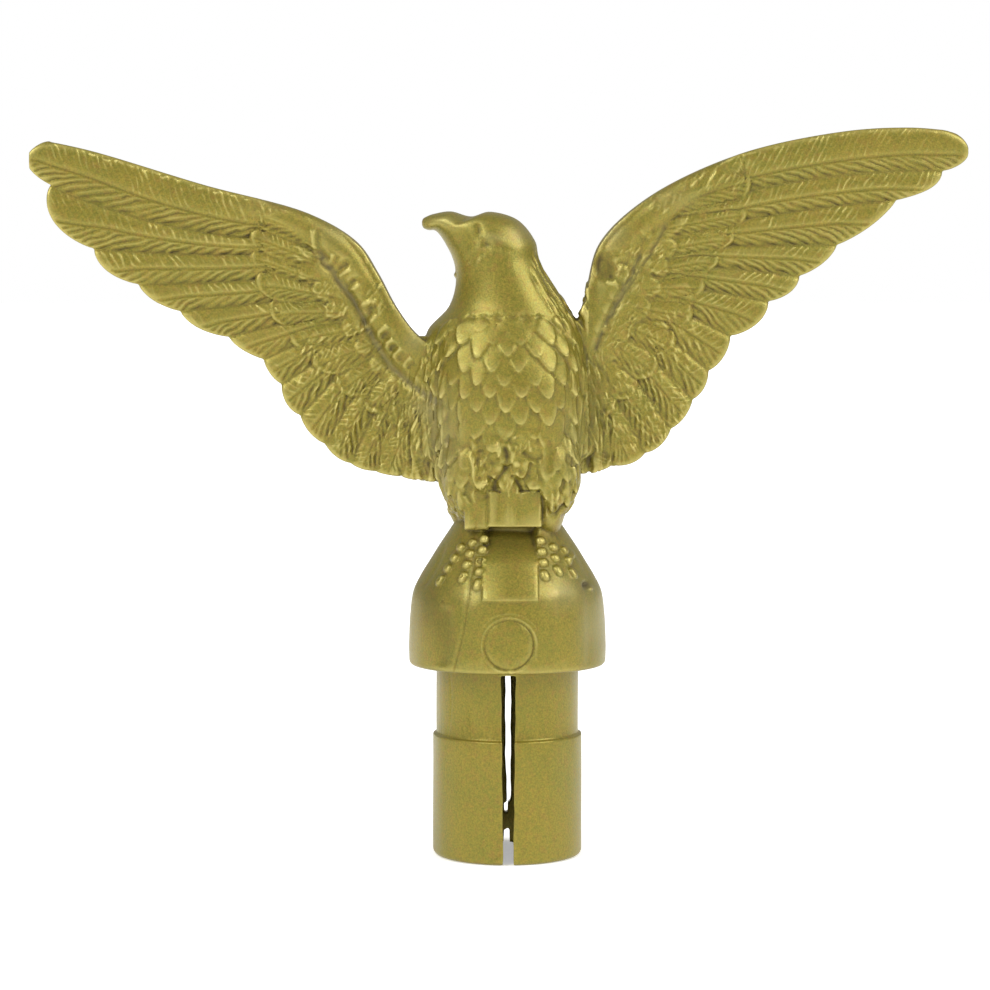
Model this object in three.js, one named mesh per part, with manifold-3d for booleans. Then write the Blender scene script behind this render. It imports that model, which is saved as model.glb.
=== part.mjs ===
// Eagle flagpole finial, moulded in one piece of metallic gold plastic.
// Millimetres, +Z up. The origin is the centre of the stem's lower end, the eagle's breast faces -Y, and
// +X is to the right of someone who looks at the breast.

import * as THREE from 'three';
import { mergeVertices } from 'three/addons/utils/BufferGeometryUtils.js';
import Module from 'manifold-3d';

const wasm = await Module();
wasm.setup();

const { lerp } = THREE.MathUtils;

// Hollow stem with a collar, split front to back so that it springs inside the pole's bore
const stem = {
  collarRadius: 11.2,
  collarTop: 18.5,
  neckRadius: 10.67,
  boreRadius: 9.1,
  boreTop: 42,
  boreChamfer: 2.5,
  edgeFillet: 0.9,
  slotTop: 28.2,
  slotX: 0.18,
  slotWidthTop: 1.15,
  slotWidthBottom: 0.75,
  collarStep: 0.25,
  sides: 32,
};

// Bell-shaped base: heights and radii from the rim's underside to the waist under the eagle
const base = {
  underside: 28.8,
  rimRadius: 14.8,
  rimFillet: 0.7,
  profile: [[14.85, 31.5], [14.6, 36.5], [14.1, 39.9], [13.05, 42.1], [11.65, 44.4], [10.3, 46.6], [8.7, 49]],
  top: 50.8,
  topRadius: 7.5,
};

// Body, neck and head as one run of sections. Each goes from a point on the left contour of the front view to
// the one on its right, [leftX, leftZ, rightX, rightZ], with its half depth and the depth of its middle.
const trunkSections = [
  { ends: [-6.8, 47.5, 7.2, 47.5], halfDepth: 6.4, middle: 0.2 },
  { ends: [-7.7, 50.4, 8.2, 50.4], halfDepth: 7.2, middle: 0 },
  { ends: [-9.1, 53.4, 9.4, 53.4], halfDepth: 8.0, middle: -0.2 },
  { ends: [-10.4, 57.0, 10.6, 57.0], halfDepth: 8.9, middle: -0.5 },
  { ends: [-11.0, 63.0, 11.3, 63.0], halfDepth: 9.8, middle: -1.0 },
  { ends: [-11.4, 70.0, 11.5, 70.0], halfDepth: 10.2, middle: -1.2 },
  { ends: [-12.1, 75.6, 11.4, 76.2], halfDepth: 9.4, middle: -0.8 },
  { ends: [-11.9, 78.9, 10.4, 80.3], halfDepth: 8.4, middle: -0.3 },
  { ends: [-8.9, 82.2, 8.6, 83.0], halfDepth: 7.5, middle: 0 },
  { ends: [-7.8, 85.2, 6.4, 86.2], halfDepth: 6.7, middle: 0 },
  { ends: [-7.8, 88.0, 4.7, 89.3], halfDepth: 6.2, middle: 0 },
  { ends: [-8.3, 89.9, 4.1, 92.2], halfDepth: 5.8, middle: 0 },
  { ends: [-9.0, 91.3, 1.5, 95.3], halfDepth: 5.1, middle: 0 },
  { ends: [-9.7, 92.5, -2.5, 96.5], halfDepth: 4.1, middle: 0 },
  { ends: [-10.3, 93.3, -5.4, 95.8], halfDepth: 2.9, middle: 0 },
  { ends: [-10.9, 93.8, -8.4, 96.6], halfDepth: 2.0, middle: 0 },
  { ends: [-11.7, 94.0, -10.8, 96.1], halfDepth: 1.2, middle: 0 },
  { ends: [-12.5, 94.2, -12.3, 95.5], halfDepth: 0.6, middle: 0 },
];
const trunkMesh = { around: 16, along: 23 };
const neckShare = 0.55;

// Overlapping scales on the breast: a staggered lattice of rows
const scales = {
  topZ: 81.3,
  bottomZ: 58.5,
  rowPitch: 1.95,
  pitch: 4.1,
  halfWidth: 1.85,
  tipShare: 0.55,
  tipRise: 0.8,
  length: 3.7,
  lift: 0.5,
  tuck: 0.3,
  depth: 1.5,
  reach: 0.9,
  columns: 3,
  sideShrink: 0.86,
};

// Thighs, shanks and the flat mould insert between them, all in front of the waist
const legs = {
  thighX: [-5.2, 5.6],
  thighZ: 58.3,
  thighY: -4.6,
  thighRadii: [4.7, 5.0, 7.6],
  thighMesh: [12, 10],
  shankX: [-4.7, 6.4],
  shankSize: [3.7, 4.2, 4.6],
  shankTaper: 0.84,
  shankSides: 8,
  shankY: -6.4,
  shankZ: 51.3,
  insertX: [-2.6, 4.9],
  insertZ: [50.0, 55.5],
  insertFront: -8.9,
  spikeTop: 59.4,
  spikeHalfWidth: [1.8, 0.6],
  spikeRise: 0.45,
};

// Toes of beads, laid down the bell from under each leg: heading is the X drift for each millimetre down
const toes = {
  starts: [-3.9, -5.2, -6.1, 4.9, 6.6, 8.2],
  heading: [0.03, -0.3, -0.68, 0.12, 0.33, 0.42],
  segments: 4,
  topZ: 48.2,
  pitch: 1.75,
  beadRadii: [1.14, 1.2, 1.38],
  sink: 0.35,
};

// Raised insert mark on the bell below the toes
const plate = { x: [-3.7, 4.4], z: [39.6, 49.6], rise: 0.4, innerY: -3 };

// Tail feathers on the hidden back, from under the wings down to the bell
const tail = {
  count: 5,
  halfWidth: 6.6,
  topShare: 0.62,
  overlap: 1.16,
  topZ: 68,
  bottomZ: 46.5,
  topY: 7.2,
  bottomY: 10.6,
  depth: 4.4,
  sideRise: 0.5,
  sideSink: 0.35,
  cornerRise: 1.1,
  crown: 0.55,
};

// Each wing, with X measured outwards from the stem's axis as [out, up].
// lead is the leading edge from the shoulder to the tip. trailing runs through the notches between the flight
// feathers from the wing's tip to the body. coverts and medians are the lines of the covert tips in the same
// order, and fold is the groove behind the arm. shows is the width that each flight feather shows.
const wings = [
  {
    side: -1,
    depthRoot: 1.2,
    depthTip: -5.6,
    lead: [[5, 74], [9.7, 76], [13.3, 78.2], [16.6, 82.5], [19.2, 87.3], [22.3, 91.9], [29.3, 96.1],
      [45, 100.4], [61, 105.2], [67.2, 106.6]],
    trailing: [[67.4, 106.7], [67.0, 100.1], [60.8, 90.8], [48.3, 81.6], [36.3, 74.6], [30.9, 66.2],
      [23.5, 59], [10, 56.5]],
    shows: [6.2, 11.5, 8.3, 7.3, 8.1, 6.1, 4.6, 5.4, 5.6, 4.9, 3.9, 3.9, 6],
    bulges: [0.5, 0.3, 0.13, 0.15, 0.05, 0.05],
    coverts: [[36.6, 97.2], [37.2, 91], [34.3, 82.3], [27.4, 74.1], [19.8, 67.7], [10, 62.5]],
    medians: [[29.5, 95], [31.1, 88.9], [27.5, 83.5], [21.3, 76.4], [15, 71.5], [8.5, 67.5]],
    fold: [[25.5, 93.4], [28.3, 90.2], [23.7, 83.4], [18.6, 75.6], [13.5, 71.2], [7.5, 71]],
    arm: [[22.6, 90.6], [20.3, 86.2], [17.8, 81.2], [13.5, 77], [7, 75]],
  },
  {
    side: 1,
    depthRoot: 1.2,
    depthTip: 7.6,
    lead: [[4, 74.5], [7.5, 77.5], [10.5, 80.9], [11.8, 85.4], [13.7, 91.8], [20.6, 98.4], [34.2, 105],
      [50.2, 108.6], [60.5, 109.3], [66.8, 108.9]],
    trailing: [[67.4, 108.6], [65.4, 102.4], [57.7, 97.8], [43.3, 86.5], [33.1, 77.6], [27.6, 68.1],
      [20.5, 60.3], [10, 57.6]],
    shows: [6.0, 8.3, 11.1, 7.3, 6.0, 7.6, 6.1, 4.9, 5.4, 5.3, 5.5, 5.5],
    bulges: [0.5, 0.14, 0.1, 0.24, 0.12, 0.1, 0.08],
    coverts: [[34.6, 103.9], [34.3, 95.2], [29.8, 88.2], [24.6, 78.3], [18, 69.8], [9.5, 64]],
    medians: [[25.5, 99.5], [26.7, 95], [22.8, 85.8], [19.4, 79.6], [14.5, 73], [8, 68]],
    fold: [[19.4, 96.3], [22, 92.6], [18.4, 85.6], [15, 78.6], [11.5, 74], [7, 71.5]],
    arm: [[15.2, 92.2], [15.6, 88.2], [14.4, 83.2], [11.6, 79.2], [7, 76]],
  },
];

// Relief of the feather rows in front of and behind the wing's middle surface, from the flight feathers
// inwards: crown is the rise of a feather's middle, and split its number of strips across
const rows = [
  { name: 'flight', front: 0.75, back: 0.8, crown: 0.5, count: null, split: 3 },
  { name: 'greater', front: 1.4, back: 0.3, crown: 0.4, count: 12, split: 2 },
  { name: 'median', front: 2.0, back: 0.3, crown: 0.35, count: 8, split: 2 },
  { name: 'lesser', front: 2.7, back: 0.3, crown: 0.3, count: 7, split: 2 },
];
const covertBulge = 0.34;
const feather = {
  underlap: 0.14,
  rootShare: 0.45,
  rootReach: 6,
  shoulder: 0.85,
  roundness: 0.7,
  tipThickness: 0.75,
  backCrown: 0.5,
  long: 20,
};
const wingRoot = 8;
const wingTip = 70;
const wingSweep = 1.3;
const arm = {
  halfWidth: [2.6, 3.2, 2.1, 1.2],
  frontRise: [1.8, 3.2, 2.1, 0.9],
  backRise: [3.2, 3.2, 2.1, 0.9],
  around: 8,
  along: 13,
};
const core = { front: 0.5, back: 1.3 };

// A copy with positions alone, in which faces that meet share their vertices
function bareAndMerged(geometry) {
  const bare = geometry.clone();
  bare.deleteAttribute('normal');
  bare.deleteAttribute('uv');
  return mergeVertices(bare, 1e-4);
}

function toSolid(geometry) {
  const merged = bareAndMerged(geometry);
  const vertProperties = new Float32Array(merged.attributes.position.array);
  const triVerts = new Uint32Array(merged.index.array);
  return new wasm.Manifold(new wasm.Mesh({ numProp: 3, vertProperties, triVerts }));
}

function toGeometry(solid) {
  const mesh = solid.getMesh();
  const geometry = new THREE.BufferGeometry();
  geometry.setAttribute('position', new THREE.BufferAttribute(mesh.vertProperties, 3));
  geometry.setIndex(new THREE.BufferAttribute(mesh.triVerts, 1));
  geometry.computeVertexNormals();
  return geometry;
}

// Moves every vertex of a three.js geometry to where place() puts it, and turns it the right way out
function reshape(geometry, place) {
  const position = geometry.attributes.position;
  const from = new THREE.Vector3();
  for (let i = 0; i < position.count; i += 1) {
    from.fromBufferAttribute(position, i);
    position.setXYZ(i, ...place(from));
  }
  return outwards(geometry);
}

// A left-hand shape comes out inside out, so its triangles are turned where its volume is negative
function outwards(geometry) {
  const position = geometry.attributes.position;
  const index = geometry.index.array;
  const corner = [new THREE.Vector3(), new THREE.Vector3(), new THREE.Vector3()];
  let volume = 0;
  for (let i = 0; i < index.length; i += 3) {
    corner.forEach((point, k) => point.fromBufferAttribute(position, index[i + k]));
    volume += corner[0].dot(corner[1].cross(corner[2]));
  }
  if (volume < 0) {
    for (let i = 0; i < index.length; i += 3) {
      [index[i + 1], index[i + 2]] = [index[i + 2], index[i + 1]];
    }
  }
  return geometry;
}

function curveThrough(points) {
  const places = points.map(([out, up]) => new THREE.Vector3(out, 0, up));
  return new THREE.CatmullRomCurve3(places, false, 'centripetal');
}

// Value at t in 0..1 along an evenly spaced list of numbers, by a Catmull-Rom spline
function along(values, t) {
  const last = values.length - 1;
  const at = Math.min(Math.max(t, 0), 1) * last;
  const i = Math.min(Math.floor(at), last - 1);
  const f = at - i;
  const before = values[Math.max(i - 1, 0)];
  const after = values[Math.min(i + 2, last)];
  const rise = (values[i + 1] - before) / 2;
  const fall = (after - values[i]) / 2;
  const f2 = f * f;
  const f3 = f2 * f;
  return (2 * f3 - 3 * f2 + 1) * values[i] + (f3 - 2 * f2 + f) * rise
    + (3 * f2 - 2 * f3) * values[i + 1] + (f3 - f2) * fall;
}

// Where a vertex of a unit sphere lies on a run of rings: t from its lower pole to its upper one, cos and sin
// around it
function ringPlace({ x, y, z }) {
  const t = Math.acos(THREE.MathUtils.clamp(-y, -1, 1)) / Math.PI;
  const ring = Math.hypot(x, z);
  const isPole = ring < 1e-6;
  return { t, cos: isPole ? 0 : x / ring, sin: isPole ? 0 : z / ring };
}

function makeStemAndBase() {
  const profile = [
    [0, stem.boreTop],
    [stem.boreRadius - stem.boreChamfer, stem.boreTop],
    [stem.boreRadius, stem.boreTop - stem.boreChamfer],
    [stem.boreRadius, 0],
    [stem.collarRadius - stem.edgeFillet, 0],
    [stem.collarRadius - stem.edgeFillet / 3, stem.edgeFillet / 3],
    [stem.collarRadius, stem.edgeFillet],
    [stem.collarRadius, stem.collarTop - stem.collarStep],
    [stem.neckRadius, stem.collarTop],
    [stem.neckRadius, base.underside],
    [base.rimRadius - base.rimFillet, base.underside],
    [base.rimRadius, base.underside + base.rimFillet],
    ...base.profile,
    [base.topRadius, base.top],
    [0, base.top],
  ];
  const lathe = new THREE.LatheGeometry(profile.map(([r, z]) => new THREE.Vector2(r, z)), stem.sides);
  lathe.rotateX(Math.PI / 2);
  const slot = reshape(new THREE.BoxGeometry(1, 1, 1), ({ x, y, z }) => {
    const width = z > 0 ? stem.slotWidthTop : stem.slotWidthBottom;
    return [stem.slotX + x * width, y * 3 * stem.collarRadius, z > 0 ? stem.slotTop : -stem.edgeFillet];
  });
  return toSolid(outwards(lathe)).subtract(toSolid(slot));
}

function trunkAt(t) {
  const ends = [0, 1, 2, 3].map((k) => along(trunkSections.map((section) => section.ends[k]), t));
  const halfDepth = along(trunkSections.map((section) => section.halfDepth), t);
  const middle = along(trunkSections.map((section) => section.middle), t);
  return { ends, halfDepth, middle };
}

// Body, neck and head: a sphere's rings of vertices laid on the sections
function makeTrunk() {
  const ball = new THREE.SphereGeometry(1, trunkMesh.around, trunkMesh.along);
  return toSolid(reshape(ball, (vertex) => {
    const { t, cos, sin } = ringPlace(vertex);
    const { ends: [x0, z0, x1, z1], halfDepth, middle } = trunkAt(t);
    const share = (1 + cos) / 2;
    return [lerp(x0, x1, share), middle + sin * halfDepth, lerp(z0, z1, share)];
  }));
}

// Section of the trunk at a height below the neck, found by halving
function trunkAtHeight(z) {
  let low = 0;
  let high = neckShare;
  for (let i = 0; i < 20; i += 1) {
    const t = (low + high) / 2;
    const { ends: [, z0, , z1] } = trunkAt(t);
    if ((z0 + z1) / 2 < z) low = t;
    else high = t;
  }
  return trunkAt(low);
}

// Share of the half width at which a place lies on the breast, -1 and 1 being its two sides
function shareAcross(x, z) {
  const { ends: [x0, , x1] } = trunkAtHeight(z);
  return (x - (x0 + x1) / 2) / ((x1 - x0) / 2);
}

function onBreast(x, z) {
  return Math.abs(shareAcross(x, z)) < scales.reach;
}

// Depth of the body's front at a place on the breast
function breastFront(x, z) {
  const { halfDepth, middle } = trunkAtHeight(z);
  const across = Math.min(Math.abs(shareAcross(x, z)), 1);
  return middle - halfDepth * Math.sqrt(1 - across * across);
}

// One breast scale: a plate that starts in the breast and lifts to its rounded tip, which points down
function makeScale(x, z) {
  return reshape(new THREE.BoxGeometry(2, 1, 1, 2, 1, 1), ({ x: across, y: face, z: end }) => {
    const atTip = end < 0;
    const halfWidth = atTip ? scales.halfWidth * scales.tipShare : scales.halfWidth;
    const cornerRise = Math.abs(across) > 0.5 ? scales.tipRise : 0;
    const cornerX = x + across * halfWidth;
    const cornerZ = z + (atTip ? cornerRise : scales.length);
    const surface = breastFront(cornerX, cornerZ) + (atTip ? -scales.lift : scales.tuck);
    return [cornerX, face > 0 ? surface + scales.depth : surface, cornerZ];
  });
}

function makeScales() {
  const solids = [];
  const rowCount = Math.round((scales.topZ - scales.length - scales.bottomZ) / scales.rowPitch);
  for (let row = 0; row <= rowCount; row += 1) {
    const z = scales.topZ - scales.length - row * scales.rowPitch;
    const shift = row % 2 === 0 ? 0 : 0.5;
    for (let column = -scales.columns; column <= scales.columns; column += 1) {
      const shrink = lerp(1, scales.sideShrink, Math.abs(column) / scales.columns);
      const x = (column + shift) * scales.pitch * shrink;
      if (onBreast(x, z) && onBreast(x, z + scales.length)) solids.push(toSolid(makeScale(x, z)));
    }
  }
  return solids;
}

function makeBox(xRange, yRange, zRange) {
  const size = [xRange, yRange, zRange].map(([low, high]) => high - low);
  const box = new THREE.BoxGeometry(...size);
  box.translate(...[xRange, yRange, zRange].map(([low, high]) => (low + high) / 2));
  return box;
}

function makeLegs() {
  const solids = [];
  for (const x of legs.thighX) {
    const thigh = new THREE.SphereGeometry(1, ...legs.thighMesh);
    thigh.rotateX(Math.PI / 2);
    thigh.scale(...legs.thighRadii);
    thigh.translate(x, legs.thighY, legs.thighZ);
    solids.push(toSolid(thigh));
  }
  for (const x of legs.shankX) {
    const shank = new THREE.CylinderGeometry(0.5, legs.shankTaper / 2, 1, legs.shankSides);
    shank.rotateX(Math.PI / 2);
    shank.scale(...legs.shankSize);
    shank.translate(x, legs.shankY, legs.shankZ);
    solids.push(toSolid(shank));
  }
  solids.push(toSolid(makeBox(legs.insertX, [legs.insertFront, 0], legs.insertZ)));
  const spike = reshape(new THREE.BoxGeometry(2, 1, 1), ({ x, y, z }) => {
    const halfWidth = z > 0 ? legs.spikeHalfWidth[1] : legs.spikeHalfWidth[0];
    const front = legs.insertFront - legs.spikeRise;
    return [x * halfWidth, y > 0 ? 0 : front, z > 0 ? legs.spikeTop : legs.insertZ[0]];
  });
  solids.push(toSolid(spike));
  return solids;
}

// Radius of the bell at a height, along straight lines between its profile's points
function bellRadius(z) {
  const points = base.profile;
  const i = Math.max(0, Math.min(points.length - 2, points.findIndex(([, up]) => up > z) - 1));
  const above = z > points[points.length - 1][1] ? points.length - 2 : i;
  const [[r0, z0], [r1, z1]] = [points[above], points[above + 1]];
  return lerp(r0, r1, (z - z0) / (z1 - z0));
}

function makeToes() {
  const solids = [];
  toes.starts.forEach((start, toe) => {
    for (let segment = 0; segment < toes.segments; segment += 1) {
      const z = toes.topZ - segment * toes.pitch;
      const x = start + toes.heading[toe] * segment * toes.pitch;
      const radius = bellRadius(z) - toes.sink;
      const bead = new THREE.IcosahedronGeometry(1, 0);
      bead.scale(...toes.beadRadii);
      bead.translate(x, -Math.sqrt(radius * radius - x * x), z);
      solids.push(toSolid(bead));
    }
  });
  return solids;
}

function makePlate() {
  const [low, high] = plate.z;
  return toSolid(reshape(new THREE.BoxGeometry(1, 1, 1), ({ x, y, z }) => {
    const up = z > 0 ? high : low;
    return [x > 0 ? plate.x[1] : plate.x[0], y > 0 ? plate.innerY : -bellRadius(up) - plate.rise, up];
  }));
}

function makeTail() {
  const solids = [];
  const width = 2 * tail.halfWidth / tail.count;
  for (let i = 0; i < tail.count; i += 1) {
    const out = Math.abs(i - (tail.count - 1) / 2);
    const middle = (i + 0.5) * width - tail.halfWidth;
    const feather = new THREE.BoxGeometry(1, 1, 1, 2, 1, 1);
    solids.push(toSolid(reshape(feather, ({ x, y, z }) => {
      const atTip = z < 0;
      const atEdge = Math.abs(x) > 0.25;
      const spread = atTip ? 1 : tail.topShare;
      const tipZ = tail.bottomZ + tail.sideRise * out + (atEdge ? tail.cornerRise : 0);
      const surface = (atTip ? tail.bottomY : tail.topY) - tail.sideSink * out;
      const face = y > 0 ? surface + (atEdge ? 0 : tail.crown) : surface - tail.depth;
      return [middle * spread + x * width * tail.overlap, face, atTip ? tipZ : tail.topZ];
    })));
  }
  return solids;
}

// Middle surface of a wing: Y at a distance out from the stem's axis
function wingDepth(wing, out) {
  const share = Math.max(out - wingRoot, 0) / (wingTip - wingRoot);
  return lerp(wing.depthRoot, wing.depthTip, share ** wingSweep);
}

// Fractions of a curve's length at which pieces that show the given widths begin and end
function fractionsOf(widths) {
  const total = widths.reduce((sum, width) => sum + width, 0);
  let reached = 0;
  return [0, ...widths.map((width) => {
    reached += width;
    return reached / total;
  })];
}

// A row of feathers between the line of its roots and the line of its tips. Each is a plate with a raised
// middle, its tip bulges past the line, and its upper edge runs under the feather above.
function makeRow(wing, row, tipLine, rootLine, fractions) {
  const solids = [];
  const count = fractions.length - 1;
  for (let i = 0; i < count; i += 1) {
    const chord = tipLine.getPointAt(fractions[i + 1]).sub(tipLine.getPointAt(fractions[i]));
    const outward = new THREE.Vector3(-chord.z, 0, chord.x).normalize();
    const bulge = bulgeOf(wing, row, i, count) * chord.length();
    const isLong = tipLine.getPointAt(fractions[i]).distanceTo(rootLine.getPointAt(i / count)) > feather.long;
    const box = new THREE.BoxGeometry(1, 1, 1, row.split, 1, isLong ? 2 : 1);
    solids.push(toSolid(reshape(box, ({ x, y, z }) => {
      const across = x + 0.5;
      const atTip = z > 0.49;
      const share = lerp(i === 0 ? 0 : -feather.underlap, 1, across);
      const tip = tipLine.getPointAt(lerp(fractions[i], fractions[i + 1], share));
      const root = rootLine.getPointAt((i + share) / count);
      const reach = tip.clone().sub(root);
      const length = reach.length();
      const rootward = Math.min(feather.rootShare * length, feather.rootReach);
      const distance = atTip ? length : lerp(-rootward, length * feather.shoulder, z * 2 + 1);
      const place = root.addScaledVector(reach.normalize(), distance);
      const swell = atTip ? bulge * Math.sin(Math.PI * across) ** feather.roundness : 0;
      place.addScaledVector(reach.add(outward).normalize(), swell);
      const crown = Math.abs(across - 0.5) < 0.3 ? row.crown : 0;
      const relief = y > 0 ? row.back + crown * feather.backCrown : -row.front - crown;
      const thickness = atTip ? feather.tipThickness : 1;
      return [wing.side * place.x, wingDepth(wing, place.x) + relief * thickness, place.z];
    })));
  }
  return solids;
}

// How far a feather's tip bulges past its line, as a share of the width that it shows
function bulgeOf(wing, row, i, count) {
  if (row.count) return covertBulge;
  return i === 0 ? wing.bulges[0] : along(wing.bulges.slice(1), i / count);
}

// The arm along the leading edge: a tapering bar whose outer side is the edge itself
function makeArm(wing, leadLine) {
  const ball = new THREE.SphereGeometry(1, arm.around, arm.along);
  return toSolid(reshape(ball, (vertex) => {
    const { t, cos, sin } = ringPlace(vertex);
    const edge = leadLine.getPointAt(t);
    const heading = leadLine.getTangentAt(t);
    const halfWidth = along(arm.halfWidth, t);
    const rise = sin < 0 ? along(arm.frontRise, t) : along(arm.backRise, t);
    const inwards = halfWidth * (1 - cos);
    const out = edge.x + heading.z * inwards;
    const up = edge.z - heading.x * inwards;
    return [wing.side * out, wingDepth(wing, out) + sin * rise, up];
  }));
}

// The web under the feather rows, from the leading edge to the line of the greater coverts
function makeCore(wing, leadLine, covertLine) {
  const outline = new THREE.Shape();
  const edge = leadLine.getPoints(14).filter((point) => point.x < wing.coverts[0][0]);
  const inner = covertLine.getPoints(10);
  outline.setFromPoints([...edge, ...inner].map((point) => new THREE.Vector2(point.x, point.z)));
  const web = new THREE.ExtrudeGeometry(outline, { depth: 1, bevelEnabled: false });
  return toSolid(reshape(bareAndMerged(web), ({ x, y, z }) => {
    const sunk = z > 0.5 ? core.back : -core.front;
    return [wing.side * x, wingDepth(wing, x) + sunk, y];
  }));
}

function makeWing(wing) {
  const leadLine = curveThrough(wing.lead);
  const lines = [wing.trailing, wing.coverts, wing.medians, wing.fold, wing.arm].map(curveThrough);
  const solids = [makeArm(wing, leadLine), makeCore(wing, leadLine, lines[1])];
  rows.forEach((row, i) => {
    const even = Array.from({ length: (row.count ?? 0) + 1 }, (_, k) => k / row.count);
    const fractions = row.count ? even : fractionsOf(wing.shows);
    solids.push(...makeRow(wing, row, lines[i], lines[i + 1], fractions));
  });
  return solids;
}

const solids = [
  makeStemAndBase(),
  makeTrunk(),
  ...makeScales(),
  ...makeLegs(),
  ...makeToes(),
  makePlate(),
  ...makeTail(),
  ...wings.flatMap(makeWing),
];
// The outer shell alone, because plates that cross leave small sealed voids between them
const shells = wasm.Manifold.union(solids).decompose().sort((a, b) => b.volume() - a.volume());

const goldPlastic = new THREE.MeshStandardMaterial({ color: 0x9a8d46, roughness: 0.42, metalness: 0.55 });
const eagle = new THREE.Mesh(toGeometry(shells[0]), goldPlastic);
eagle.name = 'eagle_finial';

const finial = new THREE.Group();
finial.add(eagle);

export default finial;
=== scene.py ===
import math
from functools import partial

import bpy
import numpy as np
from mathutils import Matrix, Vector
from mathutils.bvhtree import BVHTree


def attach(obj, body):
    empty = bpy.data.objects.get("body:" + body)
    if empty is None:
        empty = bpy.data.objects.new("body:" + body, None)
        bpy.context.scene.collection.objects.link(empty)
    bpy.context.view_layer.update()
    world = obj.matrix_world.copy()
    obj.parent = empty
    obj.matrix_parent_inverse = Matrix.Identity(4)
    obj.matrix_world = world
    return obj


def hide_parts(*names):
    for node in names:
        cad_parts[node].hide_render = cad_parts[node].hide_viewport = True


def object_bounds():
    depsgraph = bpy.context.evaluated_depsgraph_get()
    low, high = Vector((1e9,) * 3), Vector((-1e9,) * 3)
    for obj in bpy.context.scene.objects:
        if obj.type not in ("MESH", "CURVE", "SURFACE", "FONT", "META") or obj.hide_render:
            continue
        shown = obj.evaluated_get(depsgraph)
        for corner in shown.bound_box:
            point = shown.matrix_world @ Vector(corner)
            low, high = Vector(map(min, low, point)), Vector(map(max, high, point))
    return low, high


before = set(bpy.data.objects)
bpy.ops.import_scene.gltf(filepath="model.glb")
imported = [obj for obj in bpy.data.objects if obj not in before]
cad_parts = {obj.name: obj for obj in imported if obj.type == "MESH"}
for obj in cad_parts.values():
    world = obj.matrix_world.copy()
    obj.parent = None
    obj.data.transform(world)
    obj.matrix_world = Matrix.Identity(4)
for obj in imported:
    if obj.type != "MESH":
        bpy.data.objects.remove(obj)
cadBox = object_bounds()
print("frame loaded, CAD box", [tuple(corner) for corner in cadBox])

# The shapes are laid out in millimetres, +Z up, with the
# breast towards -Y, and scaled to metres once at the end
toMetres = 0.001
rng = np.random.default_rng(7)


def mix(a, b, share):
    return a + (b - a) * share


def smooth(low, high, value):
    t = np.clip((value - low) / (high - low), 0, 1)
    return t * t * (3 - 2 * t)


def bell(value):
    return np.exp(-value * value)


# value at t in 0..1 along an evenly spaced list, by a Catmull-Rom spline
def along(values, t):
    values = np.asarray(values, float)
    last = len(values) - 1
    at = np.clip(t, 0, 1) * last
    i = np.minimum(at.astype(int), last - 1)
    f = at - i
    a, b, c, d = values[np.maximum(i - 1, 0)], values[i], values[i + 1], values[np.minimum(i + 2, last)]
    rise, fall = (c - a) / 2, (d - b) / 2
    f2, f3 = f * f, f * f * f
    return (2 * f3 - 3 * f2 + 1) * b + (f3 - 2 * f2 + f) * rise + (3 * f2 - 2 * f3) * c + (f3 - f2) * fall


# a centripetal spline through [across, up] points, as places with their shares of its length
def lineThrough(points, steps=40):
    p = np.array(points, float)
    p = np.vstack([2 * p[0] - p[1], p, 2 * p[-1] - p[-2]])
    f = (np.arange(steps) / steps)[:, None]
    runs = []
    for i in range(len(p) - 3):
        p0, p1, p2, p3 = p[i:i + 4]
        d0, d1, d2 = (math.sqrt(np.linalg.norm(b - a)) for a, b in ((p0, p1), (p1, p2), (p2, p3)))
        m1 = ((p1 - p0) / d0 - (p2 - p0) / (d0 + d1) + (p2 - p1) / d1) * d1
        m2 = ((p2 - p1) / d1 - (p3 - p1) / (d1 + d2) + (p3 - p2) / d2) * d1
        f2, f3 = f ** 2, f ** 3
        runs.append(p1 + m1 * f + (-3 * p1 + 3 * p2 - 2 * m1 - m2) * f2 + (2 * p1 - 2 * p2 + m1 + m2) * f3)
    places = np.vstack(runs + [p[-2][None]])
    reached = np.concatenate([[0], np.cumsum(np.linalg.norm(np.diff(places, axis=0), axis=1))])
    return {"places": places, "shares": reached / reached[-1], "length": reached[-1]}


def onLine(line, share):
    return np.stack([np.interp(share, line["shares"], line["places"][:, k]) for k in (0, 1)], -1)


def headingOn(line, share, step=0.01):
    way = onLine(line, np.clip(share + step, 0, 1)) - onLine(line, np.clip(share - step, 0, 1))
    return way / np.linalg.norm(way, axis=-1, keepdims=True)


# smooth seeded noise over three coordinates in millimetres, about -1 to 1
def noise(places, size, seed):
    waves = np.random.default_rng(seed)
    total = np.zeros(len(places))
    for _ in range(9):
        way = waves.normal(size=3)
        way *= waves.uniform(0.6, 1.5) / np.linalg.norm(way)
        total += np.sin(places @ way * (2 * math.pi / size) + waves.uniform(0, 6.28))
    return total / 4


# mesh shapes are (vertices, quads), closed; a pole is a ring drawn together
def gridQuads(rows, columns, closeColumns=False):
    r = np.arange(rows - 1)[:, None]
    c = np.arange(columns if closeColumns else columns - 1)[None, :]
    n = (c + 1) % columns
    this, after = r * columns, (r + 1) * columns
    return np.stack([this + c, this + n, after + n, after + c], -1).reshape(-1, 4)


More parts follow.
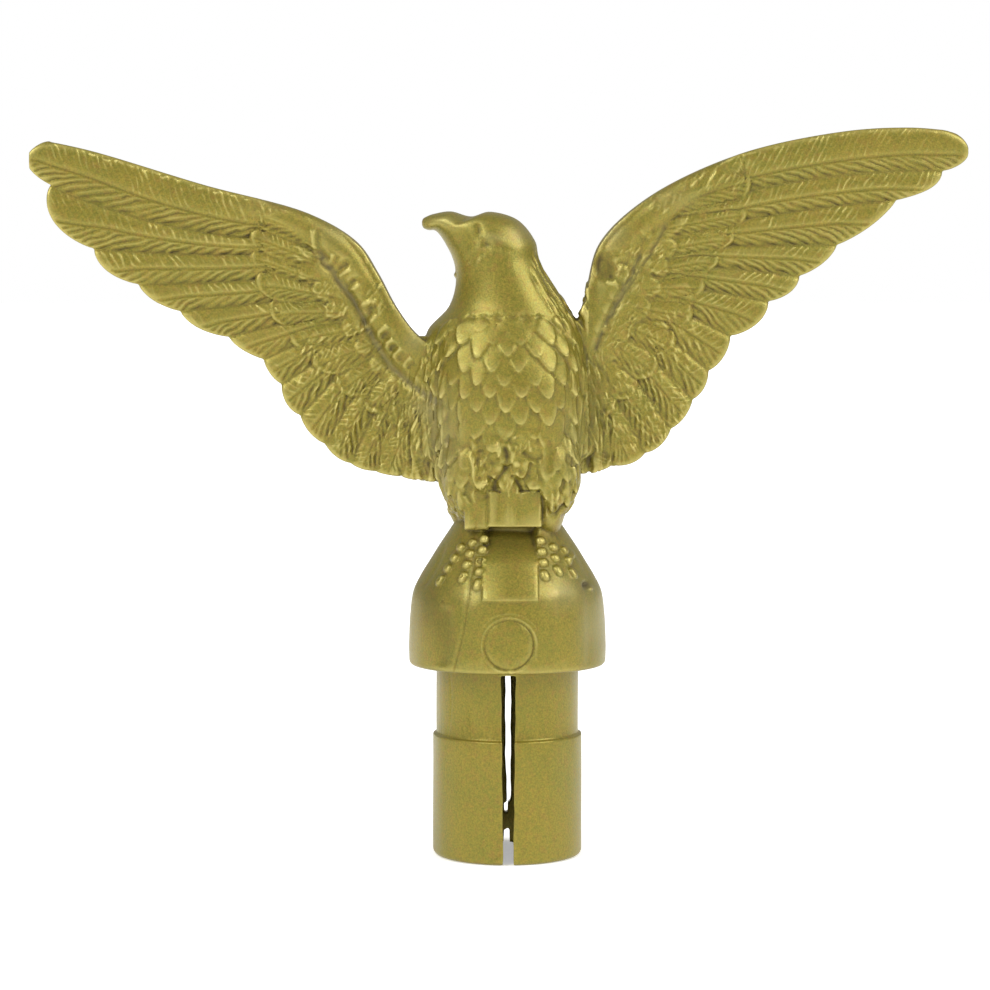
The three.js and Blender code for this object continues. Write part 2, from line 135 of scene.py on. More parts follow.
# a plate between a front and a back grid of places
def slab(front, back):
    rows, columns = front.shape[:2]
    count = rows * columns
    top = gridQuads(rows, columns)
    index = np.arange(count).reshape(rows, columns)
    rim = np.concatenate([index[0, :], index[1:, -1], index[-1, -2::-1], index[-2:0:-1, 0]])
    after = np.roll(rim, -1)
    wall = np.stack([rim, rim + count, after + count, after], -1)
    verts = np.concatenate([front.reshape(-1, 3), back.reshape(-1, 3)])
    return verts, np.concatenate([top, top[:, ::-1] + count, wall])


# a run of rings of places, closed at both ends
def tube(rings):
    first, last = rings[:1].mean(1, keepdims=True), rings[-1:].mean(1, keepdims=True)
    around = rings.shape[1]
    rings = np.concatenate([np.repeat(first, around, 1), rings, np.repeat(last, around, 1)])
    return rings.reshape(-1, 3), gridQuads(len(rings), around, True)


def joined(shapes):
    verts, quads, base = [], [], 0
    for v, q in shapes:
        verts.append(v)
        quads.append(q + base)
        base += len(v)
    return np.concatenate(verts), np.concatenate(quads)


# a new object in the scene
def placed(name, data):
    obj = bpy.data.objects.new(name, data)
    bpy.context.scene.collection.objects.link(obj)
    return obj


def asObject(name, verts, quads=None):
    mesh = bpy.data.meshes.new(name)
    mesh.vertices.add(len(verts))
    mesh.vertices.foreach_set("co", np.asarray(verts, np.float32).ravel())
    if quads is not None:
        mesh.loops.add(quads.size)
        mesh.loops.foreach_set("vertex_index", quads.astype(np.int32).ravel())
        mesh.polygons.add(len(quads))
        mesh.polygons.foreach_set("loop_start", np.arange(0, quads.size, 4, dtype=np.int32))
        mesh.validate()
    mesh.update()
    return placed(name, mesh)


def setAttribute(mesh, name, values):
    values = np.asarray(values, np.float32)
    kind = "FLOAT_VECTOR" if values.ndim == 2 else "FLOAT"
    attribute = mesh.attributes.get(name) or mesh.attributes.new(name, kind, "POINT")
    attribute.data.foreach_set("vector" if values.ndim == 2 else "value", values.ravel())


def vertexValues(mesh, name):
    values = np.zeros(len(mesh.vertices) * 3, np.float32)
    mesh.vertices.foreach_get(name, values)
    return values.reshape(-1, 3)


def vertexPlaces(mesh):
    return vertexValues(mesh, "co").astype(float)


# adds a node, sets its properties, and fills or links its inputs by
# name or number; a node stands for its first output
def addNode(tree, kind, settings=None, inputs=None):
    node = tree.nodes.new(kind)
    for name, value in (settings or {}).items():
        setattr(node, name, value)
    if isinstance(inputs, list):
        inputs = dict(enumerate(inputs))
    for key, value in (inputs or {}).items():
        if isinstance(value, bpy.types.Node):
            value = value.outputs[0]
        if isinstance(value, bpy.types.NodeSocket):
            tree.links.new(value, node.inputs[key])
        elif value is not None:
            node.inputs[key].default_value = value
    return node


# the node kinds and settings that come up most
maths, vectors, ranged = "ShaderNodeMath", "ShaderNodeVectorMath", "ShaderNodeMapRange"
split, combine = "ShaderNodeSeparateXYZ", "ShaderNodeCombineXYZ"
plus, minus, times, power = ({"operation": word} for word in ("ADD", "SUBTRACT", "MULTIPLY", "POWER"))
size0, sine, above, below = ({"operation": word}
                             for word in ("ABSOLUTE", "SINE", "GREATER_THAN", "LESS_THAN"))
timesPlus, largest = {"operation": "MULTIPLY_ADD"}, {"operation": "MAXIMUM"}
softly, asVector = {"interpolation_type": "SMOOTHSTEP"}, {"data_type": "FLOAT_VECTOR"}


def newTree(name, sizes):
    tree = bpy.data.node_groups.new(name, "GeometryNodeTree")
    tree.interface.new_socket("Geometry", in_out="INPUT", socket_type="NodeSocketGeometry")
    tree.interface.new_socket("Geometry", in_out="OUTPUT", socket_type="NodeSocketGeometry")
    for label, value in sizes.items():
        kind = {int: "NodeSocketInt", float: "NodeSocketFloat"}.get(type(value), "NodeSocketObject")
        socket = tree.interface.new_socket(label, in_out="INPUT", socket_type=kind)
        if value is not None:
            socket.default_value = value
    tree.interface.new_socket("Material", in_out="INPUT", socket_type="NodeSocketMaterial")
    return tree, addNode(tree, "NodeGroupInput").outputs


# ends a tree in real geometry with its material
def closeTree(tree, source, geometry):
    real = addNode(tree, "GeometryNodeRealizeInstances", None, [geometry])
    dressed = addNode(tree, "GeometryNodeSetMaterial", None, {0: real, "Material": source["Material"]})
    addNode(tree, "NodeGroupOutput", None, [dressed])
    return tree


def evaluatedMesh(obj):
    deps = bpy.context.evaluated_depsgraph_get()
    deps.update()
    return bpy.data.meshes.new_from_object(obj.evaluated_get(deps))


# runs a tree on an object with these inputs and gives back the plain mesh that it makes
def grownMesh(obj, tree, inputs):
    modifier = obj.modifiers.new("grow", "NODES")
    modifier.node_group = tree
    inputs = {**inputs, "Material": gold}
    for item in tree.interface.items_tree:
        if item.in_out == "INPUT" and item.name in inputs:
            modifier[item.identifier] = inputs[item.name]
    mesh = evaluatedMesh(obj)
    bpy.data.objects.remove(obj)
    return mesh


# a mesh as vertices and quads, where a triangle names its last corner twice
def asShape(mesh):
    verts = vertexPlaces(mesh)
    start = np.zeros(len(mesh.polygons), np.int32)
    total = np.zeros(len(mesh.polygons), np.int32)
    corner = np.zeros(len(mesh.loops), np.int32)
    mesh.polygons.foreach_get("loop_start", start)
    mesh.polygons.foreach_get("loop_total", total)
    mesh.loops.foreach_get("vertex_index", corner)
    quads = corner[start[:, None] + np.minimum(np.arange(4), total[:, None] - 1)]
    bpy.data.meshes.remove(mesh)
    return verts, quads


def linear(hexColour):
    channels = [int(hexColour[i:i + 2], 16) / 255 for i in (1, 3, 5)]
    return [c / 12.92 if c <= 0.04045 else ((c + 0.055) / 1.055) ** 2.4 for c in channels] + [1]


# Injection-moulded polystyrene with gold mica pigment. The pigment gives a soft satin sheen, and the flow of
# the melt leaves faint olive and brown clouds. Hollows get painted shade, mixed with real dirt marks, and
# less sheen; ridges get a painted pale-gold highlight, and patches a silver tone that is partly real rubbing
# and partly painted highlight. A ramp gives the range of a pattern's value, and what it is turned into.
goldPlastic = {
    "olive": "#797525", "gold": "#917f2a", "bronze": "#8f702e", "creaseShadeAndDirt": "#453a12", "paintedHighlight": "#d6c876",
    "silver": "#9a9269", "metallic": 0.5, "roughness": 0.37, "glossSpread": [-0.07, 0.1], "shadeAndDirtDull": 0.2,
    "ior": 1.58, "cloudSize": 9.0, "fleckSize": 0.45, "bronzeSize": 1.3, "grainSize": 0.24,
    "grainHeight": 0.02, "grainShade": 0.16, "barbDepth": 0.06, "barbRise": 0.04, "barbGrooveShade": 0.22,
    "barbHairHighlight": 0.28, "cloudRamp": [0.35, 0.68, 0.1, 0.45], "fleckRamp": [0.3, 0.7, -0.25, 0.6],
    "bronzeRamp": [0.5, 0.74, 0, 0.6], "creaseShadeRamp": [-0.01, -0.26, 0, 0.85],
    "ridgeHighlightRamp": [0.02, 0.24, 0, 0.75],
}


def makeGoldPlastic():
    look = goldPlastic
    material = bpy.data.materials.new("mouldedMetallicGoldPlastic")
    material.use_nodes = True
    material.node_tree.nodes.clear()
    add = partial(addNode, material.node_tree)
    place = add("ShaderNodeTexCoord").outputs["Object"]
    cloud, fleck, bronze, grain = (
        add("ShaderNodeTexNoise", None,
            {"Vector": place, "Scale": 1 / (look[size] * toMetres), "Detail": detail, "Roughness": rough})
        for size, detail, rough in (("cloudSize", 3, 0.55), ("fleckSize", 2, 0.6), ("bronzeSize", 3, 0.7),
                                    ("grainSize", 1, 0.5)))
    relief, dirt, rub, barb = (add("ShaderNodeAttribute", {"attribute_name": name})
                               for name in ("relief", "dirt", "rub", "barb"))
    # sunk is painted shade in creases and proud is a painted highlight on ridges, both read from the relief
    cloudy, flecked, bronzed, sunk, proud = (
        add(ranged, None, [value, *look[ramp]])
        for value, ramp in ((cloud, "cloudRamp"), (fleck, "fleckRamp"), (bronze, "bronzeRamp"),
                            (relief.outputs["Fac"], "creaseShadeRamp"), (relief.outputs["Fac"], "ridgeHighlightRamp")))
    blend = {"data_type": "RGBA"}
    colour = linear(look["olive"])
    for share, name in ((add(maths, plus, [cloudy, flecked]), "gold"), (bronzed, "bronze")):
        colour = add("ShaderNodeMix", blend, {0: share, 6: colour, 7: linear(look[name])}).outputs[2]
    shade = add(ranged, None, [grain, 0.3, 0.7, 1 - look["grainShade"], 1 + look["grainShade"]])
    colour = add("ShaderNodeVectorMath", {"operation": "SCALE"}, {0: colour, "Scale": shade})
    # fine barbs cut on the feathers, in step with the relief: painted shade in the
    # grooves below the shaft, painted highlight on the hairs above it
    side, phase, weight = add(split, None, [barb.outputs["Vector"]]).outputs
    wave = add(maths, size0, [add(maths, sine, [add(maths, times, [phase, math.pi])])])
    lower = add(maths, times, [add(maths, above, [side, 0]), weight])
    upper = add(maths, times, [add(maths, below, [side, 0]), weight])
    cut = add(maths, times, [add(maths, power, [add(maths, minus, [1, wave]), 1.1]), lower])
    hair = add(maths, times, [add(maths, power, [wave, 9]), upper])
    # painted shade in creases, added to the marks of real dirt and painted shade
    shadeAndDirtShare = add(maths, plus, [sunk, dirt.outputs["Fac"]])
    dark = add(maths, {**timesPlus, "use_clamp": True}, [cut, look["barbGrooveShade"], shadeAndDirtShare])
    # painted highlight on the barb hairs and on the ridges
    high = add(maths, {**timesPlus, "use_clamp": True}, [hair, look["barbHairHighlight"], proud])
    # the silver share is real rubbing and grey folds, and painted highlight
    for share, name in ((dark, "creaseShadeAndDirt"), (high, "paintedHighlight"), (rub.outputs["Fac"], "silver")):
        colour = add("ShaderNodeMix", blend, {0: share, 6: colour, 7: linear(look[name])}).outputs[2]
    gloss = add(ranged, None,
                [fleck, 0.2, 0.8, *(look["roughness"] + spread for spread in look["glossSpread"])])
    height = add(maths, timesPlus, [cut, -look["barbDepth"], add(maths, times, [hair, look["barbRise"]])])
    height = add(maths, timesPlus, [grain, look["grainHeight"], height])
    bump = add("ShaderNodeBump", None, {"Height": height, "Strength": 1, "Distance": toMetres})
    dull = add(maths, timesPlus, [dark, look["shadeAndDirtDull"], gloss])
    shader = add("ShaderNodeBsdfPrincipled", None, {"Base Color": colour, "Metallic": look["metallic"],
                                                    "Roughness": dull, "IOR": look["ior"], "Normal": bump})
    add("ShaderNodeOutputMaterial", None, {"Surface": shader})
    return material


gold = makeGoldPlastic()

stem = {
    "collarRadius": 11.2, "collarTop": 18.5, "collarStep": 0.25, "neckRadius": 10.67, "boreRadius": 9.1,
    "boreTop": 42, "boreChamfer": 2.5, "edgeFillet": 0.9, "slotTop": 28.2, "overlap": 1.5,
    "frontSlot": [[0, -0.66, 0.84], [28.2, -0.96, 1.21]],
    "backSlot": [[0, -0.5, 0.36], [1.8, -0.5, 0.36], [2.3, 0.3, 0.1], [4.2, 0.3, 0.1], [4.6, -0.42, 0.1],
                 [6.0, -0.42, 0.1], [6.3, 0.0, 0.44], [6.8, 0.0, 0.54], [13.2, -0.24, 0.56],
                 [28.2, -0.28, 0.58]],
}
base = {
    "underside": 28.8, "rimRadius": 14.8, "rimFillet": 0.7,
    "profile": [[14.85, 31.5], [14.6, 36.5], [14.1, 39.9], [13.05, 42.1], [11.65, 44.4], [10.3, 46.6],
                [8.7, 49]],
    "top": 50.8, "topRadius": 7.5, "around": 540, "step": 0.2,
}
plate = {
    "x": [-3.7, 4.4], "z": [39.6, 49.6], "rise": 0.32, "sinkFrom": 44.5, "sink": 1.7, "edge": 0.12,
    "clearAt": 0.35, "clearHalf": 4.4, "clearFrom": 39.2,
}
gate = {
    "at": [0.2, 33.2], "radius": 3.85, "ridge": 0.17, "height": 0.12, "depth": 0.22, "stronger": 0.7,
    "ridgeOut": 0.16, "grooveIn": 0.24, "haloOut": 0.75, "haloWidth": 0.2,
}


# points along straight runs between profile points, no further apart than step
def finePath(points, step):
    out = []
    for a, b in zip(points[:-1], points[1:]):
        a, b = np.array(a, float), np.array(b, float)
        count = max(1, int(np.ceil(np.linalg.norm(b - a) / step)))
        out += [a + (b - a) * k / count for k in range(count)]
    return np.array(out + [np.array(points[-1], float)])


bellLine = lineThrough(base["profile"] + [[base["topRadius"], base["top"]]])


def bellRadius(z):
    return np.interp(z, bellLine["places"][:, 1], bellLine["places"][:, 0])


def makeBell():
    side = onLine(bellLine, np.linspace(0, 1, int(bellLine["length"] / base["step"])))
    rim, fillet, under = base["rimRadius"], base["rimFillet"], base["underside"]
    corner = [[rim - fillet + fillet * math.sin(a), under + fillet - fillet * math.cos(a)]
              for a in np.linspace(0, math.pi / 2, 7)]
    bore, chamfer, boreTop = stem["boreRadius"], stem["boreChamfer"], stem["boreTop"]
    inner = finePath([[0.01, boreTop], [bore - chamfer, boreTop], [bore, boreTop - chamfer],
                      [bore, stem["slotTop"]],
                      [stem["neckRadius"], stem["slotTop"]], [stem["neckRadius"], under]], 0.6)
    path = np.concatenate([inner, finePath(corner, 0.3), finePath([corner[-1], side[0]], base["step"])[1:],
                           side[1:], [[0.01, base["top"]]]])
    turn = np.linspace(0, 2 * math.pi, base["around"], endpoint=False)
    r, z = path[:, 0][:, None], np.repeat(path[:, 1][:, None], len(turn), 1)
    places = np.stack([r * np.sin(turn), -r * np.cos(turn), z], -1)
    return pressPlate(places, np.arange(len(path)) >= len(inner) + 3)


# the raised insert mark on the bell's front, sunk under the overhang above it
def pressPlate(places, outer):
    x, y, z = (places[..., k] for k in range(3))
    radius = np.hypot(x, y)
    (left, right), (low, high), edge = plate["x"], plate["z"], plate["edge"]
    within = smooth(left - edge, left + edge, x) * smooth(right + edge, right - edge, x)
    within = within * smooth(low - edge, low + edge, z)
    rise = within * mix(plate["rise"], -plate["sink"], smooth(plate["sinkFrom"], high, z))
    rise = np.where(outer[:, None] & (y < 0), rise, 0)
    scale = np.where(radius > 1, (radius + rise) / np.maximum(radius, 1), 1)
    places[..., 0] *= scale
    places[..., 1] *= scale
    return tube(places)


# flow lines from the moulding as [x, z] to [x, z], with half width and depth
flowLines = [
    ((-5.5, 42.5), (-7.9, 29.2), 0.13, 0.12), ((-5.1, 47.5), (-5.5, 42.5), 0.12, 0.1),
    ((11.2, 43.5), (11.9, 30), 0.5, 0.1), ((-8.9, 38), (-9.6, 30), 0.9, 0.22),
    ((-9.3, 47), (-12.4, 41), 0.3, 0.13), ((-8.6, 28), (-8.7, 19), 0.1, 0.06),
    ((5.8, 9), (5.9, 0.5), 0.07, 0.04), ((9.3, 47), (12.6, 41), 0.3, 0.12),
    ((-3.5, 0.2), (-1.1, 1.9), 0.15, 0.12),
]
# pits and lumps on the bell: x, z, size, height
spots = [
    (7.2, 40.6, 1.5, 0.12), (-5.0, 38.6, 1.2, 0.1), (8.6, 38.8, 1.6, -0.06), (11.7, 41.3, 0.5, -0.6),
    (12.3, 40.8, 0.28, 0.35), (9.5, 45.6, 0.45, 0.35), (-9.6, 39.3, 0.25, -0.15), (0.55, 29.4, 0.35, 0.25),
]
# the marks' ends on the bell, and where a point close to the bell's or stem's true surface is
# drawn onto it: between which heights, how near, and how near to a slot's edge
trueSkin = {
    "bellFrom": 28.9, "bellTo": 50, "levels": [[1.2, 18.1], [18.9, 28.4], [31.6, 49]], "full": 0.1,
    "none": 0.3, "slot": 0.13, "slotLeast": 0.3, "most": [11.3, 14.84], "near": 0.9,
}


# thin marks pressed into the front of the bell and stem, on the finished skin
def markBell(places):
    x, y, z = places.T
    radius = np.maximum(np.hypot(x, y), 0.1)
    isBell = z > trueSkin["bellFrom"]
    onBell = smooth(trueSkin["bellFrom"], 29.6, z) * smooth(50.2, 49, z)
    dx, dz = x - gate["at"][0], z - gate["at"][1]
    ring = np.hypot(dx, dz) - gate["radius"]
    aside = np.arctan2(dz, dx)
    strength = 0.75 + 0.25 * np.cos(aside + gate["stronger"])
    rise = gate["height"] * strength * bell((ring - gate["ridgeOut"]) / gate["ridge"]) * onBell
    rise -= gate["depth"] * strength * bell((ring + gate["grooveIn"]) / gate["ridge"]) * onBell
    halo = 0.5 * gate["height"] * bell((ring - gate["haloOut"]) / gate["haloWidth"])
    rise += halo * smooth(0.2, 0.6, aside) * smooth(2.9, 2.4, aside) * onBell
    for (xa, za), (xb, zb), width, depth in flowLines:
        t = (z - za) / (zb - za)
        run = np.clip(t, 0, 1)
        middle = mix(xa, xb, run) + 0.35 * np.sin(math.pi * run)
        rise -= depth * bell((x - middle) / width) * smooth(-0.08, 0.05, t) * smooth(1.1, 0.95, t)
    for cx, cz, size, height in spots:
        rise += height * bell(np.hypot(x - cx, z - cz) / size)
    rise += 0.04 * noise(places * [1, 1, 0.3], 6.0, 11)
    stemRadius = np.where(z > stem["collarTop"] + 0.1, stem["neckRadius"], stem["collarRadius"])
    skinRadius = np.where(isBell, bellRadius(z), stemRadius)
    level = np.any([(z > low) & (z < high) for low, high in trueSkin["levels"]], 0)
    # the plate and the toes keep their own relief
    carved = (np.abs(x - plate["clearAt"]) < plate["clearHalf"]) & (z > plate["clearFrom"]) & (y < 0)
    for start, top, heading, count in toes["columns"]:
        wide, over, under = toes["clear"]
        aside = np.abs(x - start - heading * (top - z))
        carved |= (aside < wide) & (z < top + over) & (z > top - count * toes["pitch"] - under) & (y < 0)
    true = np.where(level & ~carved, skinRadius, radius)
    drawn = mix(radius, true, smooth(trueSkin["none"], trueSkin["full"], np.abs(radius - true)))
    rise = np.minimum(rise, np.where(isBell, trueSkin["most"][1], trueSkin["most"][0]) - drawn)
    underBird = z < trueSkin["bellTo"]
    near = np.abs(radius - skinRadius) < trueSkin["near"]
    rise = rise * (y < 0.5) * near * underBird * smooth(0, 0.4, z)
    scale = np.where(underBird, (drawn + rise) / radius, 1)
    places = places * np.column_stack([scale, scale, np.ones(len(scale))])
    for side in (-1, 1):
        for slot, facing in ((stem["frontSlot"], -1), (stem["backSlot"], 1)):
            edge = slotEdge(slot, side, z)
            atEdge = (np.abs(places[:, 0] - edge) < trueSkin["slot"]) & (y * facing > 5)
            inWall = (z < stem["slotTop"] - 0.3) & (radius > stem["boreRadius"] - 0.3)
            gap = slotEdge(slot, 1, z) - slotEdge(slot, -1, z)
            places[:, 0] = np.where(atEdge & inWall & (gap > trueSkin["slotLeast"]), edge, places[:, 0])
    return places


# how far from the middle one half's edge lies at a slot, given as [height, left edge, right edge]
def slotEdge(slot, side, z):
    heights, left, right = np.array(slot).T
    ragged = 0.04 * np.sin(z * 0.9 + side) + 0.015 * np.sin(z * 2.3 + 2 * side)
    return np.interp(z, heights, left if side < 0 else right) + ragged


# half of the split stem, as a C-shaped section from its front slot edge to its back one, drawn along Z
def makeStemHalf(side):
    fillet, collarTop = stem["edgeFillet"], stem["collarTop"]
    upright = np.arange(1.1, stem["slotTop"] + stem["overlap"], 0.25)
    heights = np.concatenate([np.linspace(0, fillet, 6), upright,
                              [collarTop - stem["collarStep"], collarTop]])
    across = np.linspace(0, 1, 220)
    rings = []
    for z in np.sort(heights):
        lift = min(z / fillet, 1)
        outer = stem["collarRadius"] - fillet * (1 - math.sqrt(max(0, 1 - (1 - lift) ** 2)))
        if z >= collarTop:
            outer = stem["neckRadius"]
        front, back = slotEdge(stem["frontSlot"], side, z), slotEdge(stem["backSlot"], side, z)
        ring = []
        for radius, way in ((outer, across), (stem["boreRadius"], 1 - across)):
            angle = mix(math.asin(side * front / radius), math.pi - math.asin(side * back / radius), way)
            ring.append(np.stack([side * radius * np.sin(angle), -radius * np.cos(angle)], -1))
        ring = np.concatenate(ring)
        rings.append(np.column_stack([ring, np.full(len(ring), z)]))
    return tube(np.array(rings))


trunk = {
    "sections": [
        ([-6.8, 47.5, 7.2, 47.5], 6.4, 0.2), ([-7.7, 50.4, 8.2, 50.4], 7.2, 0),
        ([-9.1, 53.4, 9.4, 53.4], 8.0, -0.2), ([-10.4, 57.0, 10.6, 57.0], 8.9, -0.5),
        ([-11.0, 63.0, 11.3, 63.0], 9.8, -1.0), ([-11.4, 70.0, 11.5, 70.0], 10.2, -1.2),
        ([-12.1, 75.6, 11.4, 76.2], 9.4, -0.8), ([-11.9, 78.9, 10.4, 80.3], 8.4, -0.3),
        ([-8.9, 82.2, 8.6, 83.0], 7.5, 0), ([-7.8, 85.2, 6.4, 86.2], 6.7, 0),
        ([-7.8, 88.0, 4.7, 89.3], 6.2, 0), ([-8.3, 89.9, 4.1, 92.2], 5.8, 0),
        ([-9.0, 91.3, 1.5, 95.3], 5.1, 0), ([-9.7, 92.5, -2.5, 96.5], 4.4, 0),
        ([-10.3, 93.3, -5.4, 95.8], 3.7, 0), ([-10.9, 93.75, -8.4, 96.55], 3.0, 0),
        ([-11.7, 93.75, -10.9, 96.2], 2.1, 0), ([-12.35, 93.95, -12.15, 95.75], 1.15, 0),
        ([-12.62, 94.2, -12.6, 95.45], 0.6, 0), ([-12.75, 94.5, -12.75, 95.1], 0.25, 0),
    ],
    "around": 260, "along": 400, "neckShare": 0.49,
}
# hollows and swellings of the head: place (x, z), half widths, turn in degrees, height
head = [
    (-4.3, 93.5, 0.6, 1.0, 12, -0.15), (-3.4, 91.4, 0.5, 0.4, 15, -0.2), (-3.9, 95.0, 1.5, 0.6, -12, 0.14),
    (-1.5, 92.5, 1.2, 0.5, -30, 0.12), (-4.6, 90.9, 0.8, 0.5, 10, 0.08), (-6.0, 88.4, 1.7, 0.3, 36, -0.12),
    (-4.4, 89.2, 0.5, 0.3, 30, 0.14), (-6.4, 87.4, 0.35, 0.2, 20, 0.14), (-5.5, 88.9, 0.4, 0.22, 30, 0.12),
    (-3.4, 89.8, 0.2, 0.2, 0, 0.12), (0.0, 90.8, 1.1, 0.22, -22, -0.1), (-6.8, 92.4, 1.8, 0.9, -20, -0.08),
]
# the smooth neck ends in a thin uneven ledge over the first scales: its
# height, depth and half width, and the depth beside it
ledge = {
    "z": 81.2, "waves": [[0.15, 3.1], [0.12, 7.3]], "softness": 0.25, "middle": -0.4, "depth": 0.26,
    "halfWidth": [6.4, 5.2], "besideDepth": 0.22, "beside": [6.0, 7.0], "besideZ": [82.5, 80.5],
    "from": [54, 58],
}
throatNub = {"at": [-7.55, 0.0, 87.1], "size": [0.45, 1.2, 0.5]}
beakBead = {"at": [-12.45, -0.35, 94.85], "size": [0.3, 0.42, 0.62]}


def trunkAt(t):
    t = np.asarray(t, float)
    ends = [along([s[0][k] for s in trunk["sections"]], t) for k in range(4)]
    return ends, along([s[1] for s in trunk["sections"]], t), along([s[2] for s in trunk["sections"]], t)


trunkSteps = np.linspace(0, trunk["neckShare"], 400)
trunkHeights = np.array([(e[1] + e[3]) / 2 for e in np.stack(trunkAt(trunkSteps)[0], -1)])


# the trunk's middle across, half width, half depth and middle depth at a height
def girthAt(z):
    ends, halfDepth, middle = trunkAt(np.interp(z, trunkHeights, trunkSteps))
    return (ends[0] + ends[2]) / 2, (ends[2] - ends[0]) / 2, halfDepth, middle


def makeTrunk():
    t = np.linspace(0, 1, trunk["along"])[:, None]
    angle = np.linspace(0, 2 * math.pi, trunk["around"], endpoint=False)[None, :]
    ends, halfDepth, middle = trunkAt(t)
    share = (1 + np.cos(angle)) / 2
    x = mix(ends[0], ends[2], share)
    z = mix(ends[1], ends[3], share)
    y = middle + np.sin(angle) * halfDepth
    facing = np.sign(np.sin(angle)) * np.sqrt(np.abs(np.sin(angle)))
    rise = np.zeros_like(x)
    for cx, cz, wide, tall, turn, height in head:
        a = math.radians(turn)
        u = (x - cx) * math.cos(a) + (z - cz) * math.sin(a)
        v = (z - cz) * math.cos(a) - (x - cx) * math.sin(a)
        rise += height * bell(np.hypot(u / wide, v / tall))
    flat = np.stack([x, y + 0 * x, z], -1).reshape(-1, 3)
    rise += 0.06 * noise(flat, 1.3, 3).reshape(x.shape) * bell(np.hypot((x + 5.4) / 2.2, (z - 88.6) / 1.6))
    rise += 0.04 * noise(flat, 4.0, 4).reshape(x.shape)
    edge, out = ledge["z"], np.abs(x - ledge["middle"])
    for height, often in ledge["waves"]:
        edge = edge + height * np.sin(often * x)
    under = smooth(edge, edge - ledge["softness"], z)
    rise -= ledge["depth"] * under * smooth(*ledge["halfWidth"], out) * smooth(*ledge["from"], z)
    beside = ledge["besideDepth"] * smooth(*ledge["beside"], out) * smooth(*ledge["besideZ"], z)
    rise -= beside * smooth(*ledge["from"], z)
    # the back stays plain below the head
    y = y + facing * rise * np.where(facing < 0, 1, smooth(84, 92, z))
    return tube(np.stack([x, y, z], -1))


# a closed ball stretched to its radii
def ball(at, size, around=48, up=32):
    t = np.linspace(0.01, math.pi - 0.01, up)[:, None]
    a = np.linspace(0, 2 * math.pi, around, endpoint=False)[None, :]
    ring = np.stack([np.sin(t) * np.cos(a), np.sin(t) * np.sin(a), np.cos(t) + 0 * a], -1)
    return tube(ring * np.array(size) + np.array(at))


legs = {
    "calf": {"at": [5.8, -3.2, 52.6], "size": [2.8, 4.7, 4.6]}, "thighX": [-5.0, 5.6], "thighZ": 58.3,
    "thighY": -4.4, "thighRadii": [5.3, 5.1, 7.9], "shankX": [-6.4, -2.75], "shankY": [-8.7, -3],
    "shankZ": [49.6, 54.6], "shankTaper": 0.97, "shankSoftness": 0.35, "insertX": [-2.8, 5.0],
    "insertZ": [50.0, 55.8], "insertFront": -8.9, "insertSoftness": 0.1, "spikeTop": 58.9,
    "spikeBottom": [-1.5, 1.9], "spikeNeck": [-0.5, 0.9], "spikePoint": [0.1, 0.3], "spikeRise": 0.08,
    "spikeCrown": 0.12,
}


# a block whose front edges are rounded and whose lower end is narrower
def boxShape(xRange, yRange, zRange, taper, rounding, steps=25):
    u, v = np.meshgrid(np.linspace(0, 1, steps), np.linspace(0, 1, steps), indexing="ij")
    (left, right), (low, high) = xRange, zRange
    x, z = mix(left, right, u), mix(low, high, v)
    middle = (left + right) / 2
    x = middle + (x - middle) * mix(taper, 1, v)
    near = np.minimum(np.minimum(u, 1 - u) * (right - left), np.minimum(v, 1 - v) * (high - low))
    front = np.stack([x, yRange[0] + rounding * bell(near / rounding), z], -1)
    return slab(front, np.stack([x, yRange[1] + 0 * x, z], -1))


def makeThighs():
    return joined([ball([x, legs["thighY"], legs["thighZ"]], legs["thighRadii"], 120, 100)
                   for x in legs["thighX"]])


def makeShins():
    shank = [legs[name] for name in ("shankX", "shankY", "shankZ", "shankTaper", "shankSoftness")]
    insert = [legs["insertX"], [legs["insertFront"], 0], legs["insertZ"], 1.0, legs["insertSoftness"]]
    shapes = [boxShape(*shank), ball(legs["calf"]["at"], legs["calf"]["size"]), boxShape(*insert)]
    low, high = legs["insertZ"][0], legs["spikeTop"]
    v = np.linspace(0, 1, 40)[None, :]
    u = np.linspace(0, 1, 20)[:, None]
    left = mix(legs["spikeBottom"][0], legs["spikeNeck"][0], v)
    right = mix(legs["spikeBottom"][1], legs["spikeNeck"][1], v)
    point = smooth(1.0, 0.86, v)
    x = mix(mix(legs["spikePoint"][0], left, point), mix(legs["spikePoint"][1], right, point), u)
    z = mix(low, high, v) + 0 * x
    y = legs["insertFront"] - legs["spikeRise"] + legs["spikeCrown"] * (2 * u - 1) ** 2 + 0 * x
    shapes.append(slab(np.stack([x, y, z], -1), np.stack([x, 0 * x, z], -1)))
    return joined(shapes)


# the front of the plain forms (or the back, for side 1), as a
# ray meets it: the place, and the way out of the skin
def frontAt(tree, x, z, side=-1):
    hits = [tree.ray_cast(Vector((x + dx, 40 * side, z + dz)), Vector((0, -side, 0))) for dx, dz in
            ((0, 0), (0.7, 0), (-0.7, 0), (0, 0.7), (0, -0.7), (0, 1.6), (0, -1.6))]
    if hits[0][0] is None:
        return None, None
    normals = [h[1] * (1 if h[1].y * side > 0 else -1) for h in hits if h[0] is not None]
    total = sum(normals, Vector())
    return np.array(hits[0][0]), np.array(total.normalized())


# rows of scales down the breast and flanks: sizes in mm, with how far each may stray
scales = {
    "topZ": 80.9, "rows": 13, "rowPitch": 1.95, "pitch": 4.1, "columns": 5, "shrink": 0.84, "stray": 0.28,
    "width": 3.1, "length": 5.0, "thickness": 0.3, "lift": [3.5, 7.0], "spread": 17, "turn": 8,
    "tipDrop": 2.4, "narrowest": 0.62, "sunk": 0.06, "rightmost": 9.6,
    "reach": [[57, 7.0], [62, 9.0], [68, 11.2], [75, 12.4], [79, 11.0], [81, 8.5]],
}


